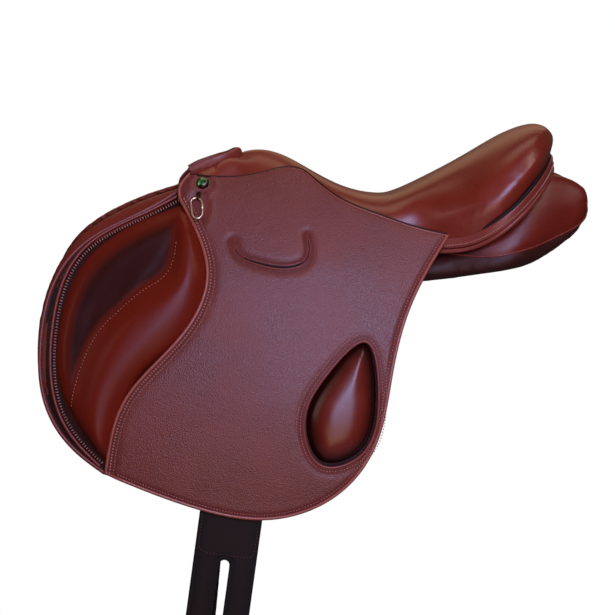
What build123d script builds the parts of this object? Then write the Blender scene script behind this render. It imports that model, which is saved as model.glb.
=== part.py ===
from build123d import *
import os
from math import acos, asin, cos, radians, sin, tan

# English riding saddle: +X runs back to the cantle, -Y is the near (left) side, +Z is up.
# x = 0 is the lowest point of the seat, y = 0 the centre plane, z = 0 the panels' lowest bearing line.

# ---- side curve of the saddle, seen from the front (the outer face of the near flap)
HEAD_Y = -60.0          # a point on the flap's face beside the head
HEAD_Z = 128.0
HEAD_SLOPE = 50.0       # degrees below level at that point
SIDE_RADIUS = 575.0     # the flap's curve round the horse's side
HEM_SLOPE = 88.0        # degrees below level where the curve runs out
TOP_RUN = 60.0          # straight stretch over the head
FALL = 330.0            # straight stretch below the curve
THROUGH = 320.0         # a cut as deep as the saddle is high or wide
PLAN_X = -100.0         # station where the flaps stand furthest out
PLAN_RADIUS = 1310.0    # the flaps' curve in plan
PLAN_ARC = 15.0         # degrees of it each way

# ---- leather and what lies between its layers
CLEAR = 0.3             # soft pieces at rest on each other
FLAP_T = 3.5
BILLET_GAP = 2.5
BILLET_T = 4.0
SWEAT_GAP = 2.0
SWEAT_T = 3.0
SKIRT_T = 13.0          # padded front facing of the panel
POINT_T = 10.0          # tree point
COVER_T = 2.4
BILLET_DEPTH = FLAP_T + BILLET_GAP
SWEAT_DEPTH = BILLET_DEPTH + BILLET_T + SWEAT_GAP
POINT_DEPTH = SWEAT_DEPTH + SWEAT_T + CLEAR
KNEE_PROUD = 9.0        # knee block above the flap's face
THIGH_PROUD = 5.0
KNEE_ROUND = 6.0        # rounding of the blocks' outer edges
THIGH_ROUND = 4.0

# ---- flap
BEND_Z = 82.0           # height of the line about which the flap lifts
BEND_GAP = 0.6
SLOT_WIDTH = 6.0        # stirrup leather slot
EGG_GAP = 3.5           # cut-out to thigh block, the room that the lifting flap needs

# ---- billet and its webbing
BILLET_WIDTH = 74.0
BILLET_LEANS = (8.0, 5.5)               # degrees forward, near and off; they never hang quite alike
BILLET_HANG = (-157.9, 20.0)            # both centre lines pass here
BILLET_FORK_Z = -308.0
BILLET_DROP = 38.0      # its top below the stirrup bar
LEG_LENGTH = 209.0
LEG_GAP = 12.0
LEG_TIP = 12.0          # corner radius
HOLE_R = 2.6
HOLE_PITCH = 25.0
HOLE_COUNT = 5
HOLE_RISE = 36.0        # lowest hole above the tip
WEB_T = 1.6
WEB_WIDTH = 48.0
WEB_X = -148.0
WEB_BEND = 6.0
WEB_PATH = [(-62.2, 65.5), (-75.7, 44.4), (-118.75, 16.7), (-129.55, -5.3)]     # y, z

# ---- tree
TREE_T = 11.0
WINDOW_FRONT = -118.0
WINDOW_REAR = 132.0
WINDOW_HALF_FRONT = 34.0
WINDOW_HALF_REAR = 62.0
NOTCH_HALF = 18.0       # cut-back head, half width
NOTCH_X = -206.0        # centre of its round end
PLATE_T = 2.0           # head and gullet plates
PLATE_GAP = 0.2
HEAD_PLATE_X = (-199.0, -152.0)
HEAD_PLATE_HALF = 34.0
GULLET_PLATE_X = (-222.0, -156.0)
GULLET_PLATE_HALF = 44.0
PLATE_NOTCH = 2.0       # plates kept back from the cut-back
STEEL_T = 1.6           # spring steels
STEEL_WIDTH = 18.0
STEEL_X = (-146.0, 140.0)
STEEL_Y = (42.0, 70.0)  # its inner edge at each end
SEAT_WEB_T = 1.4
SEAT_WEB_WIDTH = 28.0
SEAT_WEB_Y = 19.0
SEAT_WEB_X = (-148.0, 158.0)
CROSS_WEB_X = (-42.0, 18.0)
CROSS_WEB_HALF = 62.0
FOAM_LIFT = 4.0         # foam above the wood, over the webs
HEM_DROP = 0.5          # foam hem below the leather's
RIVET_R = 2.2
RIVET_HEAD_R = 3.7
RIVET_RISE = 1.2
RIVET_FIT = 0.05
RIVET_DEPTH = 6.0       # bar rivets into the wood
HEAD_RIVET_X = (-178.0, -164.0)
HEAD_RIVET_Y = (-15.0, 15.0)

# ---- stirrup bar, built on its own plane: x back, y up the slope, z outwards
BAR_SLOPE = 56.8        # degrees below level
BAR_Y = -91.9           # centre of the bar
BAR_Z = 68.0
BAR_X0 = -184.0
BAR_X1 = -106.0
BAR_H = 10.0
BAR_T = 8.0
BAR_NECK = 9.0
BAR_ROUND = 2.4
LEATHER_ROOM = 7.5      # between plate and bar
BAR_PLATE_T = 3.0
BAR_PLATE_H = 22.0
BAR_PLATE_X0 = -194.0
BAR_PLATE_X1 = -88.0
BAR_RIVET_IN = 5.0      # rivet centre from the end of the plate
BAR_SEAT_T = 10.0
BAR_SEAT_RISE = 20.0
CATCH_T = 4.0
CATCH_H = 7.0
CATCH_REACH = 13.0      # pin to tip
CATCH_FIT = 0.3
PIN_IN = 6.0            # pin from the end of the bar
PIN_R = 1.3
PIN_FIT = 0.05

# ---- dee ring and nail
RING_X = -232.0
RING_TOP_Z = 108.0
RING_H = 24.0
RING_W = 17.0
RING_BEND = 5.0
WIRE_R = 1.3
WIRE_FIT = 0.2
KEEPER_T = 1.2
KEEPER_LENGTH = 5.0
KEEPER_FOOT = 9.0
NAIL_X = -226.5
NAIL_Z = 125.0
NAIL_R = 7.5
NAIL_RISE = 4.0
NAIL_ROUND = 3.5
NAIL_DISH = 0.8         # recess for the cap
NAIL_CAP_R = 4.8
NAIL_CAP_RISE = 1.2
SHANK_R = 1.5
SHANK_FIT = 0.2

# ---- leather round the cut-back head
RIM_RISE = 4.0
RIM_FIT = 0.2
RIM_WIDTH = 9.0
FACING_T = 2.0
FACING_DROP = 12.0
ARCH_Z = 118.0
ARCH_R = 44.0

# ---- welt and piping round the cantle
WELT_R = 4.5
PIPING_R = 3.0
ROLL_PITCH = 8.0        # welt to piping

# Seat stations: x, crown z, shoulder (y, z), hem (y, z)
SEAT = [
    (-241, 137, 38, 125, 58, 104),
    (-200, 152, 41, 130, 63, 102),
    (-156, 163, 43, 135, 66, 100),
    (-110, 145, 35, 140, 66, 98),
    (-85, 130, 45, 125, 70, 95),
    (-56, 115.5, 61, 105, 78, 86),
    (0, 105.5, 70, 92, 86, 74),
    (64, 133, 74, 116, 91, 62),
    (120, 164, 92, 140, 111, 82),
    (150, 180.5, 92, 159, 109, 106),
    (175, 191, 76, 176, 93, 130),
    (192, 193, 50, 184, 62, 147),
    (203, 178, 16, 174, 20, 158),
]
# Tree stations: x, crown z, shoulder (y, z), edge (y, z)
TREE = [
    (-224, 130, 34, 116, 58, 88),
    (-200, 137, 36, 118, 62, 84),
    (-156, 146, 36, 121, 66, 73),
    (-110, 128, 34, 119, 67, 70),
    (-85, 110, 42, 102, 68, 68),
    (-56, 92, 54, 82, 70, 64),
    (0, 77, 58, 72, 74, 58),
    (64, 101, 64, 86, 82, 54),
    (120, 133, 76, 112, 96, 68),
    (150, 151, 76, 132, 92, 90),
    (175, 164, 60, 150, 76, 114),
    (188, 167, 40, 159, 52, 136),
]
# Panel stations (near side): x, then gullet top, outer top, outer bottom, gullet bottom as (y, z)
PANEL = [
    (-231.7, (-32, 72), (-44, 84), (-106, -12), (-84, -22)),
    (-150, (-34, 74), (-48, 74), (-107, -8), (-78, -14)),
    (-70, (-34, 62), (-60, 56), (-106, 4), (-52, 8)),
    (0, (-36, 56), (-64, 50), (-106, 4), (-42, 18)),
    (64, (-36, 62), (-74, 46), (-106, 9), (-42, 26)),
    (120, (-36, 96), (-102, 60), (-114, 16), (-42, 38)),
    (160, (-36, 124), (-96, 92), (-108, 23), (-42, 48)),
    (195, (-36, 136), (-68, 127), (-94, 40), (-42, 62)),
    (224, (-38, 126), (-61, 121), (-76, 64), (-44, 78)),
    (238, (-42, 110), (-58, 108), (-64, 88), (-46, 92)),
]
OVER_TREE = 12.0        # height above the wood that the panel is kept clear of
PANEL_STEP = 50.0       # stations further apart get one between them
# Cantle welt, near side: x, y, z from under the flap's rear corner to the middle of the back
WELT = [(56, -89, 54), (92, -101, 59), (124, -112, 76), (151, -110, 98), (174, -94, 121),
        (191, -62, 138), (202, -24, 148)]
WELT_BACK = (206, 0, 151)


# ---------------------------------------------------------------- the saddle's side as a surface
def plan_plane(turn):
    """Upright plane through the plan curve's axis; its own x runs out to the near side."""
    a = radians(turn)
    return Plane(
        origin=(PLAN_X, HEAD_Y + PLAN_RADIUS, 0),
        x_dir=(-sin(a), -cos(a), 0),
        z_dir=(-cos(a), sin(a), 0),
    )


PLAN_AXIS = Axis((PLAN_X, HEAD_Y + PLAN_RADIUS, 0), (0, 0, 1))


def side_curve(depth):
    """The side curve set in by depth: straight over the head, one arc, then straight down."""
    lean = radians(HEAD_SLOPE)
    start = Vector(PLAN_RADIUS - depth * sin(lean), HEAD_Z - depth * cos(lean))
    heading = Vector(cos(lean), -sin(lean))
    top = Line(start - heading * TOP_RUN, start)
    side = JernArc(start, heading, SIDE_RADIUS - depth, HEAD_SLOPE - HEM_SLOPE)
    fall = Line(side @ 1, side @ 1 + (side % 1) * FALL)
    return top, fall


def side_profile(depth, thickness):
    """Section of a sheet of even thickness whose outer face lies at the given depth."""
    with BuildSketch(plan_plane(PLAN_ARC)) as section:
        with BuildLine():
            top, fall = side_curve(depth)
            inner_top, inner_fall = side_curve(depth + thickness)
            Line(top @ 0, inner_top @ 0)
            Line(fall @ 1, inner_fall @ 1)
        make_face()
    return section.sketch


def side_sheet(depth, thickness):
    """A sheet over the whole near side, for an outline to be cut from."""
    revolve(side_profile(depth, thickness), axis=PLAN_AXIS, revolution_arc=2 * PLAN_ARC)


def side_plane(x, z, lift=0.0):
    """Plane on the flap's face: x back, y up the slope, z outwards; lift stands off it."""
    slope = acos(cos(radians(HEAD_SLOPE)) - (HEAD_Z - z) / SIDE_RADIUS)
    reach = PLAN_RADIUS + SIDE_RADIUS * (sin(slope) - sin(radians(HEAD_SLOPE)))
    turn = asin((PLAN_X - x) / reach)
    out = Vector(-sin(turn) * sin(slope), -cos(turn) * sin(slope), cos(slope))
    on_face = Vector(x, HEAD_Y + PLAN_RADIUS - reach * cos(turn), z)
    return Plane(origin=on_face + out * lift, x_dir=(cos(turn), -sin(turn), 0), z_dir=out)


def outline_of(*curves):
    """Closed outline in the side view from runs of points; a run of two points is straight."""
    with BuildSketch(Plane.XZ) as outline:
        with BuildLine():
            for points in curves:
                if len(points) == 2:
                    Line(*points)
                else:
                    Spline(*points)
        make_face()
    return outline.sketch


def cut_to(outline, mode=Mode.INTERSECT):
    """Keep (or take away) what lies inside a side-view outline, over the near half."""
    extrude(outline, amount=THROUGH, mode=mode)


# ---------------------------------------------------------------- outlines in the side view
SEAT_SEAM = [(-242, 130), (-206, 127), (-157, 135), (-110, 146)]
SEAT_EDGE = [(-110, 146), (-56, 107), (-15, 90), (26, 75), (64, 65)]
REAR_EDGE = [(64, 65), (14, -18), (-8, -95), (-28, -173), (-69, -226), (-150, -257), (-245, -242),
             (-343, -206)]
S_EDGE = [(-343, -206), (-322, -125), (-243, -34), (-222, 22), (-233, 68), (-253, 113)]
FRONT_CORNER = [(-253, 113), (-242, 130)]
SWEAT_FRONT = [(-250, 119), (-314, 90), (-372, 53), (-410, -20), (-409, -117), (-344, -208)]
SWEAT_HEM = [(-344, -208), (-250, -233), (-150, -247), (-84, -224), (-34, -175), (-12, -95), (8, -12)]
SWEAT_TOP = [[(8, -12), (-196, -8)], [(-196, -8), (-238, 30)], [(-238, 30), (-247, 108)],
             [(-247, 108), (-250, 119)]]
SKIRT_FRONT = [(-250, 119), (-325, 93), (-392, 45), (-424, -30), (-421, -112), (-372, -180)]
SKIRT_BACK = [[(-372, -180), (-300, -130)], [(-300, -130), (-170, -60)], [(-170, -60), (-170, -28)],
              [(-170, -28), (-232, -28)], [(-232, -28), (-232, 80)], [(-232, 80), (-250, 92)],
              [(-250, 92), (-250, 119)]]
KNEE_FRONT = [(-256, 98), (-318, 73), (-370, 32), (-397, -30), (-398, -104), (-349, -188)]
KNEE_REAR = [(-349, -188), (-330, -128), (-251, -36), (-229, 22), (-240, 66), (-256, 98)]
EGG = [(-36, -54), (-84, -91), (-111, -152), (-90, -196), (-52, -190), (-22, -112)]
EGG_CENTRE = (-66, -138)
SLOT = [(-191, 61), (-172, 43), (-141, 36), (-112, 44), (-103, 64)]
POINT = [[(-230, 97), (-196, 95)], [(-196, 95), (-199, 22)], [(-199, 22), (-213, 4), (-227, 22)],
         [(-227, 22), (-230, 97)]]


def flap_outline():
    return outline_of(SEAT_SEAM, SEAT_EDGE, REAR_EDGE, S_EDGE, FRONT_CORNER)


def egg_outline(inset=0.0):
    """The egg-shaped cut-out, or the same drawn in towards its centre."""
    centre = Vector(*EGG_CENTRE)
    rays = [Vector(*point) - centre for point in EGG]
    with BuildSketch(Plane.XZ) as egg:
        with BuildLine():
            Spline(*[centre + ray * (1 - inset / ray.length) for ray in rays], periodic=True)
        make_face()
    return egg.sketch


def slot_outline():
    with BuildSketch(Plane.XZ) as slot:
        with BuildLine() as path:
            Spline(*SLOT)
        trace(path.line, line_width=SLOT_WIDTH)
    return slot.sketch


def band(low, high):
    """Everything between two heights, in the side view."""
    with BuildSketch(Plane.XZ) as strip:
        with Locations((PLAN_X, (low + high) / 2)):
            Rectangle(900, high - low)
    return strip.sketch


def plan_rectangle(x0, x1, y0, y1):
    with BuildSketch(Plane.XY) as patch:
        with Locations(((x0 + x1) / 2, (y0 + y1) / 2)):
            Rectangle(x1 - x0, y1 - y0)
    return patch.sketch


def plan_slot(half_width, x_end=NOTCH_X, x_open=-300):
    """The cut-back: a slot open to the front with a round end, in plan."""
    with BuildSketch(Plane.XY) as slot:
        with Locations((x_end, 0)):
            Circle(half_width)
        with Locations(((x_end + x_open) / 2, 0)):
            Rectangle(x_end - x_open, 2 * half_width)
    return slot.sketch


# ---------------------------------------------------------------- seat and tree lofts
def seat_section(station, inset, drop):
    """Crowned section of the seat, set in from its leather by inset, its hem lowered by drop."""
    x, crown, ys, zs, yh, zh = station
    with BuildSketch(Plane.YZ.offset(x)) as section:
        with BuildLine():
            hem_y = yh - inset
            hem_z = zh - drop
            ys = ys - 0.7 * inset
            zs = zs - 0.7 * inset
            Spline((-hem_y, hem_z), (-ys, zs), (0, crown - inset), (ys, zs), (hem_y, hem_z))
            Line((-hem_y, hem_z), (hem_y, hem_z))
        make_face()
    return section.sketch


def seat_form(inset, drop=0.0, mode=Mode.ADD):
    loft([seat_section(station, inset, drop) for station in SEAT], mode=mode)


def tree_section(station, depth, thickness, room):
    """Band that follows the tree's upper face, from depth inwards by thickness, its edges out by room."""
    x, crown, ys, zs, ye, ze = station
    curves = []
    with BuildSketch(Plane.YZ.offset(x)) as section:
        with BuildLine():
            for d in (depth, depth + thickness):
                edge = (ye + room - 0.9 * d, ze - room - 0.3 * d)
                shoulder = (ys - 0.5 * d, zs - 0.9 * d)
                curves.append(Spline((-edge[0], edge[1]), (-shoulder[0], shoulder[1]), (0, crown - d),
                                     shoulder, edge))
            Line(curves[0] @ 0, curves[1] @ 0)
            Line(curves[0] @ 1, curves[1] @ 1)
        make_face()
    return section.sketch


def tree_layer(depth, thickness, room=0.0, mode=Mode.ADD):
    loft([tree_section(station, depth, thickness, room) for station in TREE], mode=mode)


def tree_room(rise):
    """All that lies under the tree's upper face raised by rise."""
    sections = []
    for x, crown, ys, zs, ye, ze in TREE:
        with BuildSketch(Plane.YZ.offset(x)) as section:
            with BuildLine():
                over = Spline((-ye - 0.9 * rise, ze + 0.3 * rise), (-ys - 0.5 * rise, zs + 0.9 * rise),
                              (0, crown + rise), (ys + 0.5 * rise, zs + 0.9 * rise),
                              (ye + 0.9 * rise, ze + 0.3 * rise))
                Polyline(over @ 0, (-ye - 0.9 * rise, ze - 60), (ye + 0.9 * rise, ze - 60), over @ 1)
            make_face()
        sections.append(section.sketch)
    loft(sections, mode=Mode.SUBTRACT)


def between(station, following):
    """The station half way between two panel stations."""
    corners = [tuple((a + b) / 2 for a, b in zip(one, other)) for one, other in zip(station[1:], following[1:])]
    return ((station[0] + following[0]) / 2, *corners)


def arc_path(points):
    """Path of straight runs joined by arcs, each as large as its two runs allow."""
    points = [Vector(*point) for point in points]
    radii = []
    for before, here, after in zip(points, points[1:], points[2:]):
        turn = (here - before).get_angle(after - here)
        shorter = min((here - before).length, (after - here).length)
        radii.append(0.45 * shorter / tan(radians(turn / 2)))
    return FilletPolyline(*points, radius=radii)


# ================================================================ tree
with BuildPart() as tree_point:
    side_sheet(POINT_DEPTH, POINT_T)
    cut_to(outline_of(*POINT))

BAR_PLANE = Plane(
    origin=(0, BAR_Y, BAR_Z),
    x_dir=(1, 0, 0),
    z_dir=(0, -sin(radians(BAR_SLOPE)), cos(radians(BAR_SLOPE))),
)
PLATE_OUT = -BAR_T / 2 - LEATHER_ROOM        # the plate's outer face, on the bar's plane
PLATE_IN = PLATE_OUT - BAR_PLATE_T
PLATE_MID_X = (BAR_PLATE_X0 + BAR_PLATE_X1) / 2
PLATE_LENGTH = BAR_PLATE_X1 - BAR_PLATE_X0
PLATE_RIVETS = [(BAR_PLATE_X0 + BAR_RIVET_IN, 0), (BAR_PLATE_X1 - BAR_RIVET_IN, 0)]
HEAD_RIVETS = [(x, y) for x in HEAD_RIVET_X for y in HEAD_RIVET_Y]
BILLET_RISE = BAR_Z - BILLET_DROP - BILLET_FORK_Z

with BuildPart() as spring_tree:
    tree_layer(0, TREE_T)
    with BuildSketch(Plane.XY):
        with BuildLine():
            front = ThreePointArc((WINDOW_FRONT + 30, WINDOW_HALF_FRONT), (WINDOW_FRONT, 0),
                                  (WINDOW_FRONT + 30, -WINDOW_HALF_FRONT))
            rear = ThreePointArc((WINDOW_REAR - 50, WINDOW_HALF_REAR), (WINDOW_REAR, 0),
                                 (WINDOW_REAR - 50, -WINDOW_HALF_REAR))
            Line(front @ 0, rear @ 0)
            Line(front @ 1, rear @ 1)
        make_face()
    extrude(amount=THROUGH, mode=Mode.SUBTRACT)
    extrude(plan_slot(NOTCH_HALF), amount=THROUGH, mode=Mode.SUBTRACT)
    with BuildSketch(BAR_PLANE.offset(PLATE_IN - PLATE_GAP)) as bar_seat:
        with Locations((PLATE_MID_X, (BAR_SEAT_RISE - BAR_PLATE_H / 2) / 2)):
            Rectangle(PLATE_LENGTH, BAR_SEAT_RISE + BAR_PLATE_H / 2)
    extrude(bar_seat.sketch, amount=-BAR_SEAT_T)
    with Locations(BAR_PLANE.offset(PLATE_IN - PLATE_GAP)):
        with Locations(*PLATE_RIVETS):
            Hole(RIVET_R + RIVET_FIT, depth=RIVET_DEPTH + 2)
    add(tree_point.part)
    mirror(about=Plane.XZ)
    with Locations(*[(x, y, 160) for x, y in HEAD_RIVETS]):
        Hole(RIVET_R + RIVET_FIT, depth=60)

with BuildPart() as head_plate:
    tree_layer(-PLATE_GAP - PLATE_T, PLATE_T)
    extrude(plan_rectangle(*HEAD_PLATE_X, -HEAD_PLATE_HALF, HEAD_PLATE_HALF), amount=THROUGH,
            mode=Mode.INTERSECT)
    extrude(plan_slot(NOTCH_HALF + PLATE_NOTCH), amount=THROUGH, mode=Mode.SUBTRACT)
    with Locations(*[(x, y, 200) for x, y in HEAD_RIVETS]):
        Hole(RIVET_R + RIVET_FIT, depth=100)

with BuildPart() as gullet_plate:
    tree_layer(TREE_T + PLATE_GAP, PLATE_T)
    extrude(plan_rectangle(*GULLET_PLATE_X, -GULLET_PLATE_HALF, GULLET_PLATE_HALF), amount=THROUGH,
            mode=Mode.INTERSECT)
    extrude(plan_slot(NOTCH_HALF + PLATE_NOTCH), amount=THROUGH, mode=Mode.SUBTRACT)
    with Locations(*[(x, y, 200) for x, y in HEAD_RIVETS]):
        Hole(RIVET_R + RIVET_FIT, depth=100)

with BuildPart() as spring_steel:
    tree_layer(TREE_T + PLATE_GAP, STEEL_T)
    with BuildSketch(Plane.XY) as strip:
        with BuildLine():
            ends = list(zip(STEEL_X, STEEL_Y))
            inner = [(x, -y) for x, y in ends]
            outer = [(x, -y - STEEL_WIDTH) for x, y in reversed(ends)]
            Polyline(*inner, *outer, close=True)
        make_face()
    extrude(strip.sketch, amount=THROUGH, mode=Mode.INTERSECT)

PLATES = PLATE_GAP + PLATE_T + RIVET_FIT
with BuildPart() as rivet_room:
    tree_layer(-PLATES, TREE_T + 2 * PLATES)
    with BuildSketch(Plane.XY) as shanks:
        with Locations(*HEAD_RIVETS):
            Circle(RIVET_R)
    extrude(shanks.sketch, amount=THROUGH, mode=Mode.SUBTRACT)

with BuildPart() as head_rivets:
    tree_layer(-PLATES - RIVET_RISE, TREE_T + 2 * (PLATES + RIVET_RISE))
    with BuildSketch(Plane.XY) as heads:
        with Locations(*HEAD_RIVETS):
            Circle(RIVET_HEAD_R)
    extrude(heads.sketch, amount=THROUGH, mode=Mode.INTERSECT)
    add(rivet_room.part, mode=Mode.SUBTRACT)

# ================================================================ stirrup bar and its catch
with BuildPart() as stirrup_bar:
    with BuildSketch(BAR_PLANE.offset(PLATE_IN)):
        with Locations((PLATE_MID_X, 0)):
            SlotOverall(PLATE_LENGTH, BAR_PLATE_H)
    extrude(amount=BAR_PLATE_T)
    with BuildSketch(BAR_PLANE.offset(PLATE_OUT)):
        with Locations((BAR_X0 + BAR_NECK / 2, 0)):
            Rectangle(BAR_NECK, BAR_H)
    extrude(amount=LEATHER_ROOM + BAR_T)
    with BuildSketch(BAR_PLANE.offset(-BAR_T / 2)):
        with Locations(((BAR_X0 + BAR_X1) / 2, 0)):
            Rectangle(BAR_X1 - BAR_X0, BAR_H)
    extrude(amount=BAR_T)
    fillet(stirrup_bar.edges().filter_by(Axis.X).filter_by(lambda e: e.center().Y < BAR_Y + 2), BAR_ROUND)
    with BuildSketch(BAR_PLANE.offset(-CATCH_T / 2 - CATCH_FIT)):
        with Locations((BAR_X1 - PIN_IN, 0)):
            Rectangle(4 * PIN_IN, 2 * BAR_H)
    extrude(amount=CATCH_T + 2 * CATCH_FIT, mode=Mode.SUBTRACT)
    with Locations(BAR_PLANE.offset(BAR_T)):
        with Locations((BAR_X1 - PIN_IN, 0)):
            Hole(PIN_R + PIN_FIT, depth=2 * BAR_T)
    with Locations(BAR_PLANE.offset(PLATE_OUT)):
        with Locations(*PLATE_RIVETS):
            CounterBoreHole(RIVET_R + RIVET_FIT, RIVET_HEAD_R + RIVET_FIT, RIVET_RISE, depth=BAR_PLATE_T)

with BuildPart() as bar_catch:
    with BuildSketch(BAR_PLANE.offset(-CATCH_T / 2)):
        with Locations((BAR_X1 - PIN_IN + CATCH_REACH / 2 - CATCH_H / 4, 0)):
            SlotOverall(CATCH_REACH + CATCH_H / 2, CATCH_H)
    extrude(amount=CATCH_T)
    with Locations(BAR_PLANE.offset(CATCH_T)):
        with Locations((BAR_X1 - PIN_IN, 0)):
            Hole(PIN_R + PIN_FIT, depth=2 * CATCH_T)

with BuildPart() as catch_pin:
    with BuildSketch(BAR_PLANE.offset(-BAR_T / 2)):
        with Locations((BAR_X1 - PIN_IN, 0)):
            Circle(PIN_R)
    extrude(amount=BAR_T)

with BuildPart() as bar_rivets:
    with BuildSketch(BAR_PLANE.offset(PLATE_IN - RIVET_DEPTH)):
        with Locations(*PLATE_RIVETS):
            Circle(RIVET_R)
    extrude(amount=RIVET_DEPTH + BAR_PLATE_T)
    with BuildSketch(BAR_PLANE.offset(PLATE_OUT)):
        with Locations(*PLATE_RIVETS):
            Circle(RIVET_HEAD_R)
    extrude(amount=RIVET_FIT - RIVET_RISE)

# ================================================================ seat
with BuildPart() as seat_cover:
    seat_form(0)
    seat_form(COVER_T, drop=HEM_DROP, mode=Mode.SUBTRACT)
    extrude(plan_slot(NOTCH_HALF), amount=THROUGH, mode=Mode.SUBTRACT)

with BuildPart() as seat_foam:
    seat_form(COVER_T + 2 * CLEAR, drop=HEM_DROP)
    tree_room(FOAM_LIFT)
    extrude(plan_slot(NOTCH_HALF + COVER_T), amount=THROUGH, mode=Mode.SUBTRACT)

with BuildPart() as seat_webs:
    tree_layer(-PLATE_GAP - SEAT_WEB_T, SEAT_WEB_T)
    with BuildSketch(Plane.XY) as webs:
        for side in (-1, 1):
            with Locations((sum(SEAT_WEB_X) / 2, side * SEAT_WEB_Y)):
                Rectangle(SEAT_WEB_X[1] - SEAT_WEB_X[0], SEAT_WEB_WIDTH)
    extrude(webs.sketch, amount=THROUGH, mode=Mode.INTERSECT)

with BuildPart() as cross_web:
    tree_layer(-2 * PLATE_GAP - 2 * SEAT_WEB_T, SEAT_WEB_T)
    extrude(plan_rectangle(*CROSS_WEB_X, -CROSS_WEB_HALF, CROSS_WEB_HALF), amount=THROUGH,
            mode=Mode.INTERSECT)

with BuildPart() as pommel_rim:
    seat_form(-RIM_RISE)
    seat_form(-RIM_FIT, mode=Mode.SUBTRACT)
    extrude(plan_slot(NOTCH_HALF + RIM_WIDTH), amount=THROUGH, mode=Mode.INTERSECT)
    extrude(plan_slot(NOTCH_HALF), amount=THROUGH, mode=Mode.SUBTRACT)
    extrude(plan_slot(NOTCH_HALF + 2 * RIM_WIDTH), amount=ARCH_Z, mode=Mode.SUBTRACT)

with BuildPart() as pommel_facing:
    front = SEAT[0]
    extrude(seat_section((front[0] - CLEAR, *front[1:]), 0, FACING_DROP), amount=-FACING_T)
    with BuildSketch(Plane.YZ.offset(front[0])) as arch:
        with Locations((0, ARCH_Z - ARCH_R)):
            Circle(ARCH_R)
        with Locations((0, ARCH_Z - 2 * ARCH_R)):
            Rectangle(2 * ARCH_R, 2 * ARCH_R)
    extrude(arch.sketch, amount=-2 * FACING_T, mode=Mode.SUBTRACT)
    extrude(plan_slot(NOTCH_HALF), amount=THROUGH, mode=Mode.SUBTRACT)

with BuildPart() as cantle_welt:
    with BuildLine():
        arc_path(WELT + [WELT_BACK] + [(x, -y, z) for x, y, z in reversed(WELT)])
    with BuildSketch(Plane(origin=WELT[0], z_dir=Vector(*WELT[1]) - Vector(*WELT[0]))):
        Circle(WELT_R)
    sweep()

PIPING = []
for here, following in zip(WELT, WELT[1:] + [WELT_BACK]):
    run = Vector(*following) - Vector(*here)
    down = Vector(run.Z, 0, -run.X).normalized()
    PIPING.append(tuple(Vector(*here) + down * ROLL_PITCH))
with BuildPart() as cantle_piping:
    with BuildLine():
        arc_path(PIPING + [(WELT_BACK[0] + ROLL_PITCH / 2, 0, WELT_BACK[2] - ROLL_PITCH)]
                 + [(x, -y, z) for x, y, z in reversed(PIPING)])
    with BuildSketch(Plane(origin=PIPING[0], z_dir=Vector(*PIPING[1]) - Vector(*PIPING[0]))):
        Circle(PIPING_R)
    sweep()

# ================================================================ flap and sweat flap (near side)
with BuildPart() as flap:
    side_sheet(0, FLAP_T)
    cut_to(flap_outline())
    cut_to(egg_outline(), mode=Mode.SUBTRACT)
    cut_to(slot_outline(), mode=Mode.SUBTRACT)
    cut_to(band(BEND_Z - BEND_GAP, 400), mode=Mode.SUBTRACT)

with BuildPart() as flap_head:
    side_sheet(0, FLAP_T)
    cut_to(flap_outline())
    cut_to(band(-600, BEND_Z), mode=Mode.SUBTRACT)
    with Locations(side_plane(NAIL_X, NAIL_Z, 1)):
        Hole(SHANK_R + SHANK_FIT, depth=2 + FLAP_T)

with BuildPart() as sweat_flap:
    side_sheet(SWEAT_DEPTH, SWEAT_T)
    cut_to(outline_of(SWEAT_FRONT, SWEAT_HEM, *SWEAT_TOP))

with BuildPart() as knee_block:
    side_sheet(-KNEE_PROUD, SWEAT_DEPTH + KNEE_PROUD - CLEAR)
    cut_to(outline_of(KNEE_FRONT, KNEE_REAR))
    fillet(knee_block.faces().sort_by(Axis.Y)[0].edges(), KNEE_ROUND)

with BuildPart() as thigh_block:
    side_sheet(-THIGH_PROUD, SWEAT_DEPTH + THIGH_PROUD - CLEAR)
    cut_to(egg_outline(EGG_GAP))
    fillet(thigh_block.faces().sort_by(Axis.Y)[0].edges(), THIGH_ROUND)

# ================================================================ panel
panel_stations = PANEL[:1]
for station in PANEL[1:]:
    if station[0] - panel_stations[-1][0] > PANEL_STEP:
        panel_stations.append(between(panel_stations[-1], station))
    panel_stations.append(station)

with BuildPart() as panel:
    sections = []
    for x, *corners in panel_stations:
        with BuildSketch(Plane.YZ.offset(x)) as section:
            with BuildLine():
                ring = [Vector(*corner) for corner in corners]
                points = []
                for here, following in zip(ring, ring[1:] + ring[:1]):
                    points += [here + (following - here) * 0.2, here + (following - here) * 0.8]
                Spline(*points, periodic=True)
            make_face()
        sections.append(section.sketch)
    loft(sections)
    tree_layer(-OVER_TREE, OVER_TREE + TREE_T + PLATE_T + 2 * CLEAR, room=CLEAR, mode=Mode.SUBTRACT)

with BuildPart() as panel_facing:
    side_sheet(POINT_DEPTH, SKIRT_T)
    cut_to(outline_of(SKIRT_FRONT, *SKIRT_BACK))

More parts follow.
